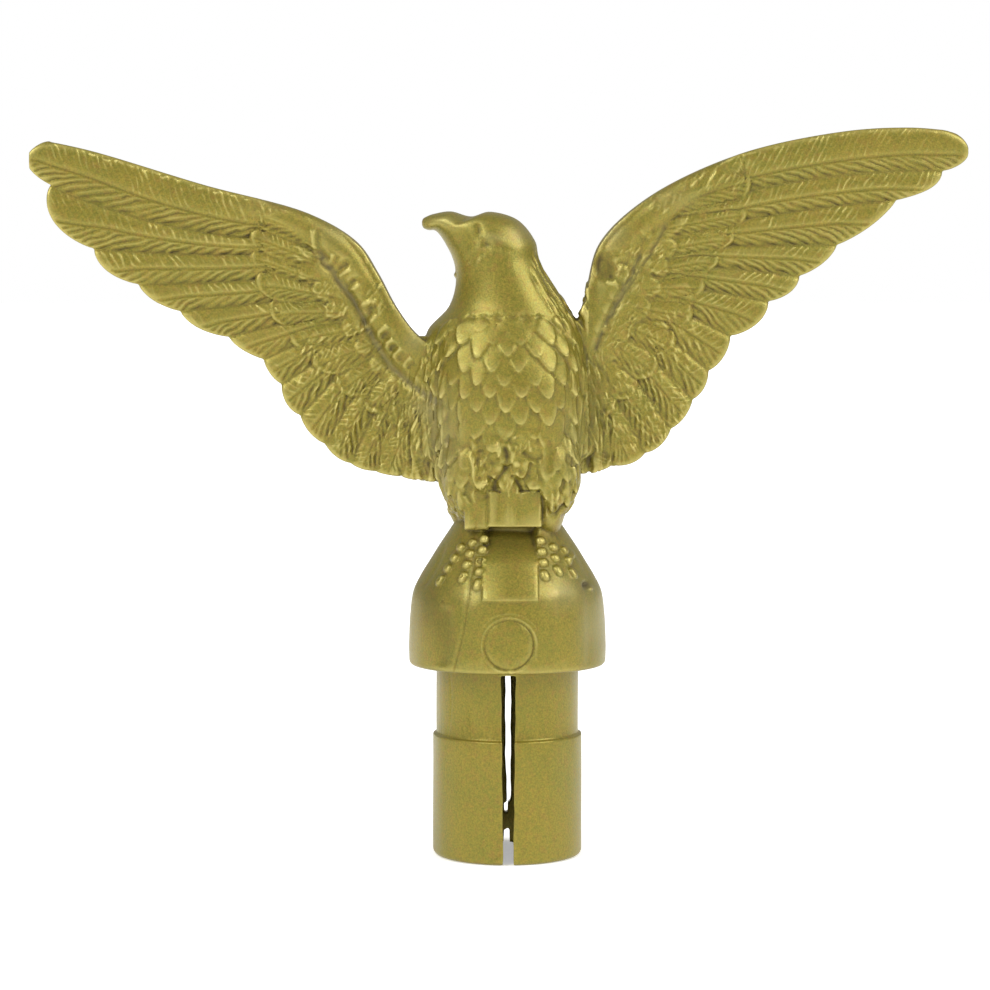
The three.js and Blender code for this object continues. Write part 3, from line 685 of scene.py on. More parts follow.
# ends a tree in one copy of a shape on every point, turned and
# stretched by the point's own directions and size
def layOnPoints(tree, source, shape):
    add = partial(addNode, tree)
    facing, lie, size = (add("GeometryNodeInputNamedAttribute", asVector, [name])
                         for name in ("facing", "lie", "size"))
    turn = add("FunctionNodeAxesToRotation", {"primary_axis": "Z", "secondary_axis": "Y"}, [facing, lie])
    laid = add("GeometryNodeInstanceOnPoints", None,
               {"Points": source["Geometry"], "Instance": shape, "Rotation": turn, "Scale": size})
    return closeTree(tree, source, laid)


# a tree that lays one kite-shaped scale on every point
def makeScaleTree():
    tree, source = newTree("scalesOnPoints", {
        "Tip From": 0.3, "Point": 1.7, "Sharpness": 0.6, "Dome": 0.45, "Rim": 0.12, "Columns": 15,
        "Rows": 21})
    add = partial(addNode, tree)
    block = add("GeometryNodeMeshCube", None, {"Size": (1, 1, 1), "Vertices X": source["Columns"],
                                               "Vertices Y": source["Rows"], "Vertices Z": 2})
    x, y, z = add(split, None, [add("GeometryNodeInputPosition")]).outputs
    tip = add(ranged, None, [add(maths, minus, [0.5, y]), source["Tip From"], 1, 0, 1])
    left = add(maths, {**minus, "use_clamp": True}, [1, add(maths, power, [tip, source["Point"]])])
    wide = add(maths, times, [x, add(maths, power, [left, source["Sharpness"]])])
    wide = add(maths, times, [wide, add(ranged, softly, [y, 0.1, 0.5, 1, 0.3])])
    edge = add(maths, largest, [add(maths, size0, [add(maths, times, [x, 2])]), tip])
    bowed = add(maths, times, [add(maths, minus, [1, add(maths, times, [edge, edge])]), source["Dome"]])
    rim = add(ranged, softly, [edge, 0.7, 0.88, 0, source["Rim"]])
    onTop = add(maths, above, [z, 0])
    raised = add(maths, timesPlus, [add(maths, plus, [bowed, rim]), onTop, z])
    shield = add("GeometryNodeSetPosition", None,
                 {"Geometry": block, "Position": add(combine, None, [wide, y, raised])})
    return layOnPoints(tree, source, shield)


scaleTree = makeScaleTree()


# points for instances: where each one's middle sits, the way it faces, the way up it lies, and its size
def pointsFor(name, rows):
    columns = [np.array(column) for column in zip(*rows)]
    points = asObject(name, columns[0])
    for label, values in zip(("facing", "lie", "size"), columns[1:]):
        setAttribute(points.data, label, values)
    return points


# one scale on the skin: hinged at its upper end, so that the lower tip stands clear
def layScale(here, facing, turn, lift, wide, long, thick):
    up = np.array([0, 0, 1.0]) - facing * facing[2]
    up /= np.linalg.norm(up)
    up = up * math.cos(turn) + np.cross(up, facing) * math.sin(turn)
    lifted = facing * math.cos(lift) + up * math.sin(lift)
    return here, lifted, up * math.cos(lift) - facing * math.sin(lift), (wide, long, thick)


def makeBreastScales(skinTree):
    laid = []
    heights, reaches = np.array(scales["reach"]).T
    for row in range(scales["rows"]):
        tipZ = scales["topZ"] - scales["tipDrop"] - row * scales["rowPitch"]
        for column in range(-scales["columns"], scales["columns"] + 1):
            step = column + (0.5 if row % 2 else 0)
            x = step * scales["pitch"] * mix(1, scales["shrink"], abs(step) / scales["columns"])
            x += rng.uniform(-1, 1) * scales["stray"] - 0.2
            z = tipZ + scales["length"] / 2 + rng.uniform(-1, 1) * scales["stray"]
            narrow = mix(1.0, scales["narrowest"], smooth(6.0, 10.5, abs(x))) * rng.uniform(0.9, 1.1)
            turn = math.radians(-scales["spread"] * x / 10 + rng.uniform(-1, 1) * scales["turn"])
            lift = math.radians(rng.uniform(*scales["lift"]) * mix(1, 0.7, smooth(76, 79, z)))
            long = scales["length"] * rng.uniform(0.9, 1.08)
            long = min(long, scales["topZ"] - tipZ)
            z = max(z, tipZ + long / 2) if row > 1 else tipZ + long / 2
            limit = np.interp(z, heights, reaches)
            if not -limit <= x <= min(limit, scales["rightmost"]):
                continue
            here, facing = frontAt(skinTree, x, z)
            if here is None:
                continue
            here, wide = here - facing * scales["sunk"], scales["width"] * narrow
            laid.append(layScale(here, facing, turn, lift, wide, long, scales["thickness"]))
    return asShape(grownMesh(pointsFor("breastScales", laid), scaleTree, {}))


# plainer scales down the back, which the photo does not show
backScales = {
    "tops": [81.5, 62.5], "rowPitch": 2.9, "pitch": 4.6, "reach": 8.6, "width": 3.9, "length": 5.6,
    "thickness": 0.3, "lift": [2.5, 5], "turn": 4, "sunk": 0.08,
}


def makeBackScales(skinTree):
    laid = []
    for row, z0 in enumerate(np.arange(*backScales["tops"], -backScales["rowPitch"])):
        for x0 in np.arange(-2, 3) * backScales["pitch"]:
            x = x0 + (backScales["pitch"] / 2 if row % 2 else 0) + rng.uniform(-0.2, 0.2)
            if abs(x) > backScales["reach"]:
                continue
            here, facing = frontAt(skinTree, x, z0, 1)
            if here is None:
                continue
            lift = math.radians(rng.uniform(*backScales["lift"]))
            turn = math.radians(1.2 * x + rng.uniform(-backScales["turn"], backScales["turn"]))
            sizes = [backScales[name] for name in ("width", "length", "thickness")]
            laid.append(layScale(here - facing * backScales["sunk"], facing, turn, lift, *sizes))
    return asShape(grownMesh(pointsFor("backScales", laid), scaleTree, {}))


# rounder, thicker scales on the outer sides of the thighs
tufts = {
    "low": 51.6, "high": 64.5, "rowPitch": 1.75, "pitch": 2.7, "reach": 10.4, "width": [2.3, 3.3],
    "length": [3.0, 4.2], "thickness": 0.45, "lift": [3, 9], "turn": 15, "stray": 0.5, "sunk": 0.04,
    "innermost": 5.6, "shape": {"Tip From": 0.1, "Dome": 0.6, "Rim": 0.03, "Point": 1.8, "Sharpness": 0.5},
}


def makeThighTufts(skinTree):
    laid = []
    for row, z0 in enumerate(np.arange(tufts["low"], tufts["high"], tufts["rowPitch"])):
        for x0 in np.arange(-tufts["reach"], tufts["reach"], tufts["pitch"]):
            x = x0 + (tufts["pitch"] / 2 if row % 2 else 0) + rng.uniform(-tufts["stray"], tufts["stray"])
            z = z0 + rng.uniform(-tufts["stray"], tufts["stray"])
            wide, long, lift = (rng.uniform(*tufts[name]) for name in ("width", "length", "lift"))
            turn = math.radians(-1.5 * x + rng.uniform(-1, 1) * tufts["turn"])
            onShank = abs(x) <= 6.6 and z < (54.4 if x < 0 else 54.2)
            if abs(x) < tufts["innermost"] or onShank or abs(x) > 9.2 and z < 56:
                continue
            here, facing = frontAt(skinTree, x, z)
            if here is None:
                continue
            here = here - facing * tufts["sunk"]
            wide = wide * mix(1, 0.7, smooth(6, 9, abs(x)))
            laid.append(layScale(here, facing, turn, math.radians(lift), wide, long, tufts["thickness"]))
    return asShape(grownMesh(pointsFor("thighTufts", laid), scaleTree, tufts["shape"]))


# toe columns on the bell: x and z of the top bead, sideways run for each mm down, number of beads with
# the claw; clear says how far beside, over and under a column the bell keeps its relief
toes = {
    "columns": [[-3.5, 48.2, -0.13, 5], [-5.2, 47.6, -0.26, 4], [-6.9, 46.9, -0.62, 4], [4.9, 47.9, 0.1, 4],
                [6.8, 46.9, 0.16, 3], [8.4, 46.4, 0.34, 3]],
    "pitch": 1.52, "radii": [0.76, 0.6, 0.66], "sink": 0.08, "claw": [0.85, 1.4], "clawDrop": 0.3,
    "clear": [1.05, 1.1, 0.5],
}


# a tree that strings squarish rounded beads on points
def makeBeadTree():
    tree, source = newTree("beadsOnPoints", {"Squareness": 0.72})
    add = partial(addNode, tree)
    bead = add("GeometryNodeMeshUVSphere", None, {"Segments": 24, "Rings": 16, "Radius": 1})
    place = add("GeometryNodeInputPosition")
    parts = add(split, None, [add(vectors, {"operation": "ABSOLUTE"}, [place])]).outputs
    square = add(combine, None, [add(maths, power, [part, source["Squareness"]]) for part in parts])
    moved = add(vectors, times, [square, add(vectors, {"operation": "SIGN"}, [place])])
    shaped = add("GeometryNodeSetPosition", None, {"Geometry": bead, "Position": moved})
    return layOnPoints(tree, source, shaped)


def makeToes():
    laid = []
    for start, top, heading, count in toes["columns"]:
        for bead in range(count):
            z = top - bead * toes["pitch"]
            x = start + heading * bead * toes["pitch"]
            radius = float(bellRadius(z))
            y = -math.sqrt(radius * radius - x * x)
            slope = float(bellRadius(z - 0.5)) - float(bellRadius(z + 0.5))
            facing = np.array([x / radius, y / radius, slope])
            facing /= np.linalg.norm(facing)
            down = np.array([heading, 0, -1.0])
            down -= facing * (down @ facing)
            down /= np.linalg.norm(down)
            isClaw = bead == count - 1
            wide, deep, tall = toes["radii"]
            thin, stretch = toes["claw"] if isClaw else (rng.uniform(0.9, 1.1), 1)
            place = np.array([x, y, z]) + down * (toes["clawDrop"] if isClaw else 0) - facing * toes["sink"]
            laid.append((place, facing, down, (wide * thin, tall * stretch, deep)))
    return asShape(grownMesh(pointsFor("toeBeads", laid), makeBeadTree(), {}))


# both wings as [out, up] lines seen from the front, with the depth of their middle at the root and the tip
wings = [
    {
        "side": -1, "depthRoot": 1.2, "depthTip": -5.6, "rootRise": 3.2,
        "lead": [[5, 74], [9.7, 76], [13.3, 78.2], [16.6, 82.5], [19.2, 87.3], [22.3, 91.9], [29.3, 96.1],
                 [45, 100.4], [61, 105.2], [67.2, 106.6]],
        "trailing": [[67.4, 106.7], [67.0, 100.1], [60.8, 90.8], [48.3, 81.6], [36.3, 74.6], [30.9, 66.2],
                     [23.5, 59], [10, 56.5]],
        "shows": [6.4, 11.3, 8.3, 7.3, 8.1, 6.1, 4.6, 5.4, 5.6, 4.9, 3.9, 3.9, 6],
        "rootAt": [0, 1.27, 1.95], "sag": [1.2, 1.6, 0.4, 0.2], "shafts": [[0.64, 0.5], [0.56, 0.46]],
        "bulges": [0.5, 0.24, 0.12, 0.15, 0.05, 0.05],
        "coverts": [[36.6, 97.2], [37.2, 91], [34.3, 82.3], [27.4, 74.1], [19.8, 67.7], [10, 62.5]],
        "covertShows": [2.8, 2.8, 2.9, 4.2, 4.3, 4.4, 4.4, 4.4, 4.2, 4.0, 4.0],
        "medians": [[29.5, 95], [31.1, 88.9], [27.5, 83.5], [21.3, 76.4], [15, 71.5], [8.5, 67.5]],
        "flank": {"from": 0.74, "out": 19, "high": 78},
    },
    {
        "side": 1, "depthRoot": 1.2, "depthTip": 7.6, "rootRise": 1.2,
        "lead": [[4, 74.5], [7.5, 77.5], [10.5, 80.9], [11.8, 85.4], [13.7, 91.8], [20.6, 98.4], [34.2, 105],
                 [50.2, 108.6], [60.5, 109.3], [66.8, 108.9]],
        "trailing": [[67.4, 108.6], [65.4, 102.4], [57.7, 97.8], [43.3, 86.5], [33.1, 77.6], [27.6, 68.1],
                     [20.5, 60.3], [10, 57.6]],
        "shows": [6.0, 8.3, 11.1, 7.3, 6.0, 7.6, 6.1, 4.9, 5.4, 5.3, 5.5, 5.5],
        "rootAt": [0, 1.15, 2.15, 3.2, 4.1], "sag": [-1.0, -1.1, -0.3],
        "shafts": [[0.66, 0.62], [0.55, 0.5]],
        "bulges": [0.5, 0.14, 0.1, 0.22, 0.12, 0.1, 0.08],
        "coverts": [[34.6, 103.9], [34.3, 95.2], [29.8, 88.2], [24.6, 78.3], [18, 69.8], [9.5, 64]],
        "covertShows": [6.0, 3.4, 4.0, 4.2, 4.6, 4.6, 4.6, 4.4, 4.2, 4.0, 4.0],
        "medians": [[25.5, 99.5], [26.7, 95], [22.8, 85.8], [19.4, 79.6], [14.5, 73], [8, 68]],
        "flank": {"from": 0.86, "out": 15.5, "high": 76},
    },
]
# rows of feathers from the flight feathers inwards: relief before and behind the wing's middle, in mm,
# how fine their barbs are beside the flight feathers', and how far each feather may stray
rows = [
    {"name": "flight", "front": 0.8, "back": 0.8, "crown": 0.58, "valley": 0.34, "rim": 0.05,
     "fine": 1.0, "jitter": 0.0, "strength": 1.0},
    {"name": "greater", "front": 1.2, "back": 1.3, "crown": 0.34, "valley": 0.26, "rim": 0.16,
     "fine": 0.8, "jitter": 0.12, "strength": 0.7},
]
feather = {
    "underlap": 0.14, "rootShare": 0.45, "rootReach": 6, "shoulder": 0.8, "roundness": 0.7,
    "covertBulge": 0.34, "valleyWidth": 0.55, "tipFall": 0.35, "tipFallWidth": 0.5, "step": 0.26,
    "wander": 0.5, "fineInside": 0.62,
}
wingSpan = {"root": 8, "tip": 70, "sweep": 1.3, "riseFrom": 21, "riseTo": 10.5}
# the bar along the leading edge, from the shoulder to the tip
arm = {
    "halfWidth": [2.6, 3.0, 2.3, 1.3, 1.0], "frontRise": [1.8, 2.9, 1.9, 1.0, 0.8],
    "backRise": [3.0, 3.0, 2.4, 1.4, 0.9], "around": 60, "along": 420,
}
# the plain web under the feathers, before and behind the wing's middle
core = {"front": 0.5, "back": 1.3, "innerFront": [2.0, 2.3, 2.2, 1.9, 1.45], "fadeIn": 0.3}


# the depth of a wing's middle: it sweeps back or forward to the tip, and rises onto the breast at the root
def wingDepth(wing, out):
    share = np.clip(out - wingSpan["root"], 0, None) / (wingSpan["tip"] - wingSpan["root"])
    rise = wing["rootRise"] * smooth(wingSpan["riseFrom"], wingSpan["riseTo"], out)
    return mix(wing["depthRoot"], wing["depthTip"], share ** wingSpan["sweep"]) - rise


def fractionsOf(widths):
    return np.concatenate([[0], np.cumsum(widths)]) / np.sum(widths)


def bulgeOf(wing, row, i, count):
    if row["name"] != "flight":
        return feather["covertBulge"]
    return wing["bulges"][0] if i == 0 else float(along(wing["bulges"][1:], np.float64(i / count)))


# one feather: a plate between its root line and its tip line,
# and the lanes that its barbs follow on both faces
def makeFeather(wing, row, i, count, tipLine, rootLine, fractions, lead):
    low = 0 if i == 0 else -feather["underlap"]
    ends = onLine(tipLine, fractions[i:i + 2])
    chord = ends[1] - ends[0]
    width = np.linalg.norm(chord)
    outward = np.array([-chord[1], chord[0]]) / width
    isFlight = row["name"] == "flight"
    rootAt, sag, shaftAt = np.arange(count + 1.0), np.zeros(count + 1), [0.5, 0.5]
    if isFlight:
        rootAt[:len(wing["rootAt"])] = wing["rootAt"]
        sag[:len(wing["sag"])] = wing["sag"]
        shaftAt = wing["shafts"][i] if i < len(wing["shafts"]) else shaftAt
    middleTip = onLine(tipLine, np.array([(fractions[i] + fractions[i + 1]) / 2]))[0]
    middleRoot = onLine(rootLine, np.array([(rootAt[i] + rootAt[i + 1]) / 2 / count]))[0]
    span = np.linalg.norm(middleTip - middleRoot)
    across = np.linspace(0, 1, max(9, int(width * 1.15 / feather["step"])))[:, None]
    share = mix(low, 1, across)
    tip = onLine(tipLine, mix(fractions[i], fractions[i + 1], share[:, 0]))[:, None, :]
    root = onLine(rootLine, np.interp(i + share[:, 0], np.arange(count + 1), rootAt) / count)[:, None, :]
    reach = tip - root
    length = np.linalg.norm(reach, axis=-1, keepdims=True)
    rootward = np.minimum(feather["rootShare"] * length, feather["rootReach"])
    down = np.linspace(0, 1, max(9, int((span + feather["rootReach"]) / feather["step"])))[None, :]
    distance = mix(-rootward, length * (1 + row["jitter"] * rng.uniform(-0.5, 0.3)), down[..., None])
    unit = reach / length
    way = unit + outward
    way = way / np.linalg.norm(way, axis=-1, keepdims=True)
    swell = bulgeOf(wing, row, i, count) * width
    swell = swell * np.sin(math.pi * np.clip(share, 0, 1)) ** feather["roundness"]
    place = root + unit * distance + way * (swell * smooth(feather["shoulder"], 1, down))[..., None]
    run = np.clip(distance / length, 0, 1)
    droop = np.interp(i + share, np.arange(count + 1), sag)[..., None] * np.sin(math.pi * run) ** 0.7
    place = place + droop * np.stack([unit[..., 1], -unit[..., 0]], -1)
    if isFlight and i == 0:
        covered = np.interp(wing["coverts"][0][0], lead["places"][:, 0], lead["shares"])
        edge = onLine(lead, mix(covered, 1, run[0, :, 0]))[None]
        place = mix(place, edge, ((1 - share) ** 2.5)[..., None] * smooth(1, 0.97, run))
    axis = (middleTip - middleRoot) / span
    aside = np.array([axis[1], -axis[0]])
    if (place[-1, -1] - place[0, -1]) @ aside < 0:
        aside = -aside
    a, b = place @ axis, place @ aside
    shaftShare = mix(shaftAt[0], shaftAt[1], run.mean(0)[:, 0])
    at = (shaftShare - low) / (1 - low) * (len(across) - 1)
    lowerRow, columns = at.astype(int), np.arange(place.shape[1])
    shaft = mix(place[lowerRow, columns], place[lowerRow + 1, columns], (at - lowerRow)[:, None])
    order = np.argsort(shaft @ axis)
    fromShaft = b - np.interp(a, (shaft @ axis)[order], (shaft @ aside)[order])
    flat = np.concatenate([place, 0 * place[..., :1]], -1).reshape(-1, 3)
    fine = row["fine"]
    if isFlight:
        fine = fine * mix(1, feather["fineInside"], float(smooth(0.5, 0.9, i / count)))
    wander = feather["wander"] * (row["jitter"] * 2 + 0.6) * noise(flat, 9.0, 21).reshape(a.shape)
    wander = wander + 0.16 * noise(flat, 2.6, 22).reshape(a.shape)
    toTip = a.max() - a + wander
    fromUpper = np.clip(share * width + 0 * down, -0.6, None)
    tipGap = (1 - down) * (length[..., 0] + rootward[..., 0])
    sideGap = (1 - share) * width + 0 * down
    edgeGap = np.minimum(tipGap, sideGap + 0.2)
    valley = row["valley"] * np.exp(-fromUpper / feather["valleyWidth"])
    fall = feather["tipFall"] * np.exp(-tipGap / feather["tipFallWidth"])
    crown = row["crown"] * (1 - ((share - 0.42) / 0.62) ** 2)
    lift = row["jitter"] * (rng.uniform(-0.5, 0.5) + rng.uniform(-0.8, 0.8) * (share - 0.5))
    height = row["front"] + crown - valley - fall + lift
    height = height + row["rim"] * (bell((edgeGap - 0.35) / 0.2) - 0.5 * bell((edgeGap - 0.85) / 0.3))
    backHeight = row["back"] + 0.5 * crown - 0.5 * valley - fall
    x = wing["side"] * place[..., 0]
    middle = wingDepth(wing, place[..., 0])
    front = np.stack([x, middle - height, place[..., 1]], -1)
    back = np.stack([x, middle + backHeight, place[..., 1]], -1)
    inside = mix(1, 0.6, smooth(20, 13, place[..., 0]))
    strength = row["strength"] * inside * smooth(0.1, 1.1, tipGap)
    strength = strength * smooth(0, 0.4, np.minimum(sideGap, fromUpper))
    lanes = []
    for side, face in ((1, front), (-0.4, back)):
        facts = np.stack([fromShaft / fine, toTip / fine, side * strength * smooth(0, 0.05, down)], -1)
        lanes.append((face.reshape(-1, 3), gridQuads(*face.shape[:2]), facts.reshape(-1, 3)))
    return slab(front, back), lanes


# the arm along the leading edge: a tapering bar whose outer side is the edge itself
def makeArm(wing, lead):
    t = np.linspace(0.002, 0.998, arm["along"])[:, None]
    a = np.linspace(0, 2 * math.pi, arm["around"], endpoint=False)[None, :]
    edge, heading = onLine(lead, t[:, 0])[:, None, :], headingOn(lead, t[:, 0])[:, None, :]
    taper = np.sqrt(np.clip(1 - np.abs(2 * t - 1) ** 14, 0.02, 1))
    halfWidth = along(arm["halfWidth"], t) * taper
    rise = np.where(np.sin(a) < 0, along(arm["frontRise"], t), along(arm["backRise"], t)) * taper
    inwards = halfWidth * (1 - np.cos(a))
    out = edge[..., 0] + heading[..., 1] * inwards
    up = edge[..., 1] - heading[..., 0] * inwards
    return tube(np.stack([wing["side"] * out, wingDepth(wing, out) + np.sin(a) * rise, up], -1))


# a web ruled from the leading edge to a line inside the wing, with its heights before and behind the middle
def makeWeb(wing, lead, inner, reachX, fronts):
    reach = np.interp(reachX, lead["places"][:, 0], lead["shares"])
    t = np.linspace(0, 1, 160)
    a, b = onLine(lead, (1 - t) * reach), onLine(inner, t)
    v = np.linspace(0.02, 1, 90)[None, :]
    place = mix(a[:, None, :], b[:, None, :], v[..., None])
    depth = wingDepth(wing, place[..., 0])
    x = wing["side"] * place[..., 0]
    rise = mix(core["front"], along(fronts, v), smooth(0, core["fadeIn"], t)[:, None])
    return slab(np.stack([x, depth - rise, place[..., 1]], -1),
                np.stack([x, depth + core["back"], place[..., 1]], -1))


# a hollow curve of skin from the trunk's side out onto the wing, so that the two run into each other
def makeFlank(wing):
    side, facts = wing["side"], wing["flank"]
    u = np.linspace(0, 1, 60)[:, None]
    outs, ups = np.array(wing["trailing"][::-1]).T
    low = np.interp(mix(11, facts["out"], u), outs, ups) + 0.3
    z = mix(low, facts["high"], np.linspace(0, 1, 90)[None, :])
    centre, halfWidth, halfDepth, middle = girthAt(z)
    rest = math.sqrt(1 - facts["from"] ** 2)
    x0 = side * centre + facts["from"] * halfWidth
    y0 = middle - halfDepth * rest
    slope0 = halfDepth * facts["from"] / (halfWidth * rest)
    run = facts["out"] - x0
    y1 = wingDepth(wing, facts["out"]) - rows[1]["front"] - 0.1
    slope1 = wingDepth(wing, facts["out"]) - wingDepth(wing, facts["out"] - 1)
    u2, u3 = u * u, u * u * u
    y = (2 * u3 - 3 * u2 + 1) * y0 + (u3 - 2 * u2 + u) * run * slope0
    y = y + (3 * u2 - 2 * u3) * y1 + (u3 - u2) * run * slope1
    ends = smooth(low, low + 2.5, z) * smooth(facts["high"], facts["high"] - 4, z)
    y = y + (1 - ends) * 1.8 * np.sin(math.pi * u)
    x = side * (x0 + run * u)
    return slab(np.stack([x, y, z + 0 * u], -1), np.stack([x, 0 * x + 1.5, z + 0 * u], -1))


def makeWing(wing, lanes):
    lead = lineThrough(wing["lead"])
    lines = [lineThrough(wing[name]) for name in ("trailing", "coverts", "medians")]
    shapes = [makeArm(wing, lead), makeWeb(wing, lead, lines[1], wing["coverts"][0][0], [core["front"]] * 3),
              makeWeb(wing, lead, lines[2], wing["medians"][0][0], core["innerFront"])]
    for k, row in enumerate(rows):
        fractions = fractionsOf(wing["shows" if row["name"] == "flight" else "covertShows"])
        count = len(fractions) - 1
        for i in range(count):
            shape, faces = makeFeather(wing, row, i, count, lines[k], lines[k + 1], fractions, lead)
            shapes.append(shape)
            lanes += faces
    return joined(shapes)


tail = {
    "count": 5, "halfWidth": 6.6, "topShare": 0.62, "topZ": 68, "bottomZ": 46.5, "topY": 7.2,
    "bottomY": 10.6, "depth": 4.4, "sideRise": 0.5, "sideSink": 0.35, "crown": 0.55, "bulge": 1.1,
    "overlap": 0.16,
}


# tail feathers on the hidden back, from under the wings down to the bell
def makeTail(lanes):
    width = 2 * tail["halfWidth"] / tail["count"]
    shapes = []
    for i in range(tail["count"]):
        out = abs(i - (tail["count"] - 1) / 2)
        middle = (i + 0.5) * width - tail["halfWidth"]
        across = np.linspace(-0.5, 0.5, 24)[:, None]
        down = np.linspace(0, 1, 90)[None, :]
        spread = mix(tail["topShare"], 1, down)
        x = middle * spread + across * width * (1 + tail["overlap"])
        tipZ = tail["bottomZ"] + tail["sideRise"] * out + tail["bulge"] * (2 * across) ** 2
        z = mix(tail["topZ"], tipZ, down)
        surface = mix(tail["topY"], tail["bottomY"], down) - tail["sideSink"] * out
        height = surface + tail["crown"] * (1 - (2 * across) ** 2) - 0.3 * np.exp(-(1 - down) * 40)
        face = np.stack([x, height, z], -1)
        shapes.append(slab(face, np.stack([x, surface - tail["depth"] + 0 * x, z], -1)))
        facts = np.stack([across * width + 0 * down, (1 - down) * 21 + 0 * across, -0.5 + 0 * z], -1)
        lanes.append((face.reshape(-1, 3), gridQuads(*face.shape[:2]), facts.reshape(-1, 3)))
    return joined(shapes)


# the front's low relief is drawn on a sheet of small cells
# across X and Z, and pressed into the finished skin
sheet = {"cell": 0.1, "left": -71.0, "low": 48.0, "wide": 1420, "tall": 640}
sheetHeights = np.zeros((sheet["tall"], sheet["wide"]))
sheetGreys = np.zeros_like(sheetHeights)


# the sheet's cells within reach of some places, as slices and the cells' own places
def cellsNear(places, reach):
    low = (places.min(0) - reach - [sheet["left"], sheet["low"]]) / sheet["cell"]
    high = (places.max(0) + reach - [sheet["left"], sheet["low"]]) / sheet["cell"]
    (c0, r0), (c1, r1) = np.maximum(low.astype(int), 0), np.maximum(high.astype(int) + 1, 1)
    r1, c1 = min(r1, sheet["tall"]), min(c1, sheet["wide"])
    z, x = np.meshgrid(sheet["low"] + np.arange(r0, r1) * sheet["cell"],
                       sheet["left"] + np.arange(c0, c1) * sheet["cell"],
                       indexing="ij")
    return (slice(r0, r1), slice(c0, c1)), x, z


# a line of relief: half width and height, how wide its slope is on
# its left hand and a hollow there; it fades at both ends
def drawLine(points, width, height, inner=None, hollow=0.0, grey=0.0, fade=0.14):
    line = {"places": np.array(points, float), "shares": np.array([0, 1.0])}
    if len(points) > 2:
        line = lineThrough(points, 8)
    window, x, z = cellsNear(line["places"], 2.6)
    best, aside, at = np.full(x.shape, 9.0), np.zeros(x.shape), np.zeros(x.shape)
    joints = list(zip(line["places"], line["shares"]))
    for ((ax, az), sa), ((bx, bz), sb) in zip(joints[:-1], joints[1:]):
        wx, wz = bx - ax, bz - az
        t = np.clip(((x - ax) * wx + (z - az) * wz) / (wx * wx + wz * wz), 0, 1)
        dx, dz = x - ax - wx * t, z - az - wz * t
        gap = np.hypot(dx, dz)
        nearer = gap < best
        best = np.where(nearer, gap, best)
        aside = np.where(nearer, np.sign(wx * dz - wz * dx), aside)
        at = np.where(nearer, mix(sa, sb, t), at)
    onLeft = height * bell(best / (inner or width)) - hollow * bell((best - 0.85) / 0.45)
    onRight = height * bell(best / width)
    ends = smooth(0, fade, at) * smooth(1, 1 - fade, at)
    sheetHeights[window] += np.where(aside > 0, onLeft, onRight) * ends
    sheetGreys[window] += grey * bell(best / 0.6) * ends


# a rounded lump, or a hollow where its height is below 0
def drawLump(x0, z0, wide, tall, turn, height):
    window, x, z = cellsNear(np.array([[x0, z0]]), max(wide, tall) * 1.2)
    a = math.radians(turn)
    u = ((x - x0) * math.cos(a) + (z - z0) * math.sin(a)) / wide
    v = ((z - z0) * math.cos(a) - (x - x0) * math.sin(a)) / tall
    sheetHeights[window] += height * smooth(1.15, 0.35, np.hypot(u, v))


# how much of its height a small feather shows, its root's and
# dome's height, and the rim and dark line round it
leafLook = {
    "share": 0.62, "root": 0.25, "body": 0.6, "dome": 0.35, "rim": 0.14, "line": 0.16,
    "waves": [0.09, 0.04],
}


# a small feather lying on the skin: it rises from its root to a
# rounded tip with a thin rim, and a dark line runs round it
def drawLeaf(x0, z0, long, wide, heading, height):
    window, x, z = cellsNear(np.array([[x0, z0]]), max(long, wide) * 1.5)
    a = math.radians(heading)
    u = ((x - x0) * math.cos(a) + (z - z0) * math.sin(a)) / long
    v = ((z - z0) * math.cos(a) - (x - x0) * math.sin(a)) / wide
    out, around, waves = np.hypot(u, v), np.arctan2(v, u), leafLook["waves"]
    out = out + waves[0] * np.sin(3 * around + 2 * x0) + waves[1] * np.sin(7 * around + z0)
    size = min(long, wide)
    shape = mix(leafLook["root"], 1, smooth(-1.1, 0.7, u)) * smooth(1 + 0.14 / size, 1 - 0.2 / size, out)
    dome = leafLook["dome"] * (1 - np.clip(out, 0, 1) ** 2)
    tipward = smooth(-0.6, 0.3, u)
    rim = leafLook["rim"] * bell((out - 1 + 0.25 / size) / (0.25 / size)) * tipward
    darkLine = leafLook["line"] * bell((out - 1 - 0.3 / size) / (0.2 / size)) * tipward
    whole = leafLook["body"] * shape + dome * shape + rim - darkLine
    sheetHeights[window] += leafLook["share"] * height * whole


hairs = {"width": 0.13, "spread": 11, "height": 0.13, "bend": 0.15}


# short scratchy hairs strewn over an oval, along one heading
def drawHairs(x0, z0, wide, tall, heading, count, length):
    for _ in range(count):
        r, a = math.sqrt(rng.uniform(0, 1)), rng.uniform(0, 2 * math.pi)
        x, z = x0 + wide * r * math.cos(a), z0 + tall * r * math.sin(a)
        way = math.radians(heading + rng.normal() * hairs["spread"])
        half = length * rng.uniform(0.35, 0.7)
        dx, dz = half * math.cos(way), half * math.sin(way)
        bend = rng.uniform(-hairs["bend"], hairs["bend"]) * half
        middle = (x + bend * math.sin(way), z - bend * math.cos(way))
        height = hairs["height"] * rng.uniform(0.5, 1.2)
        drawLine([(x - dx, z - dz), middle, (x + dx, z + dz)], hairs["width"], height, fade=0.35)


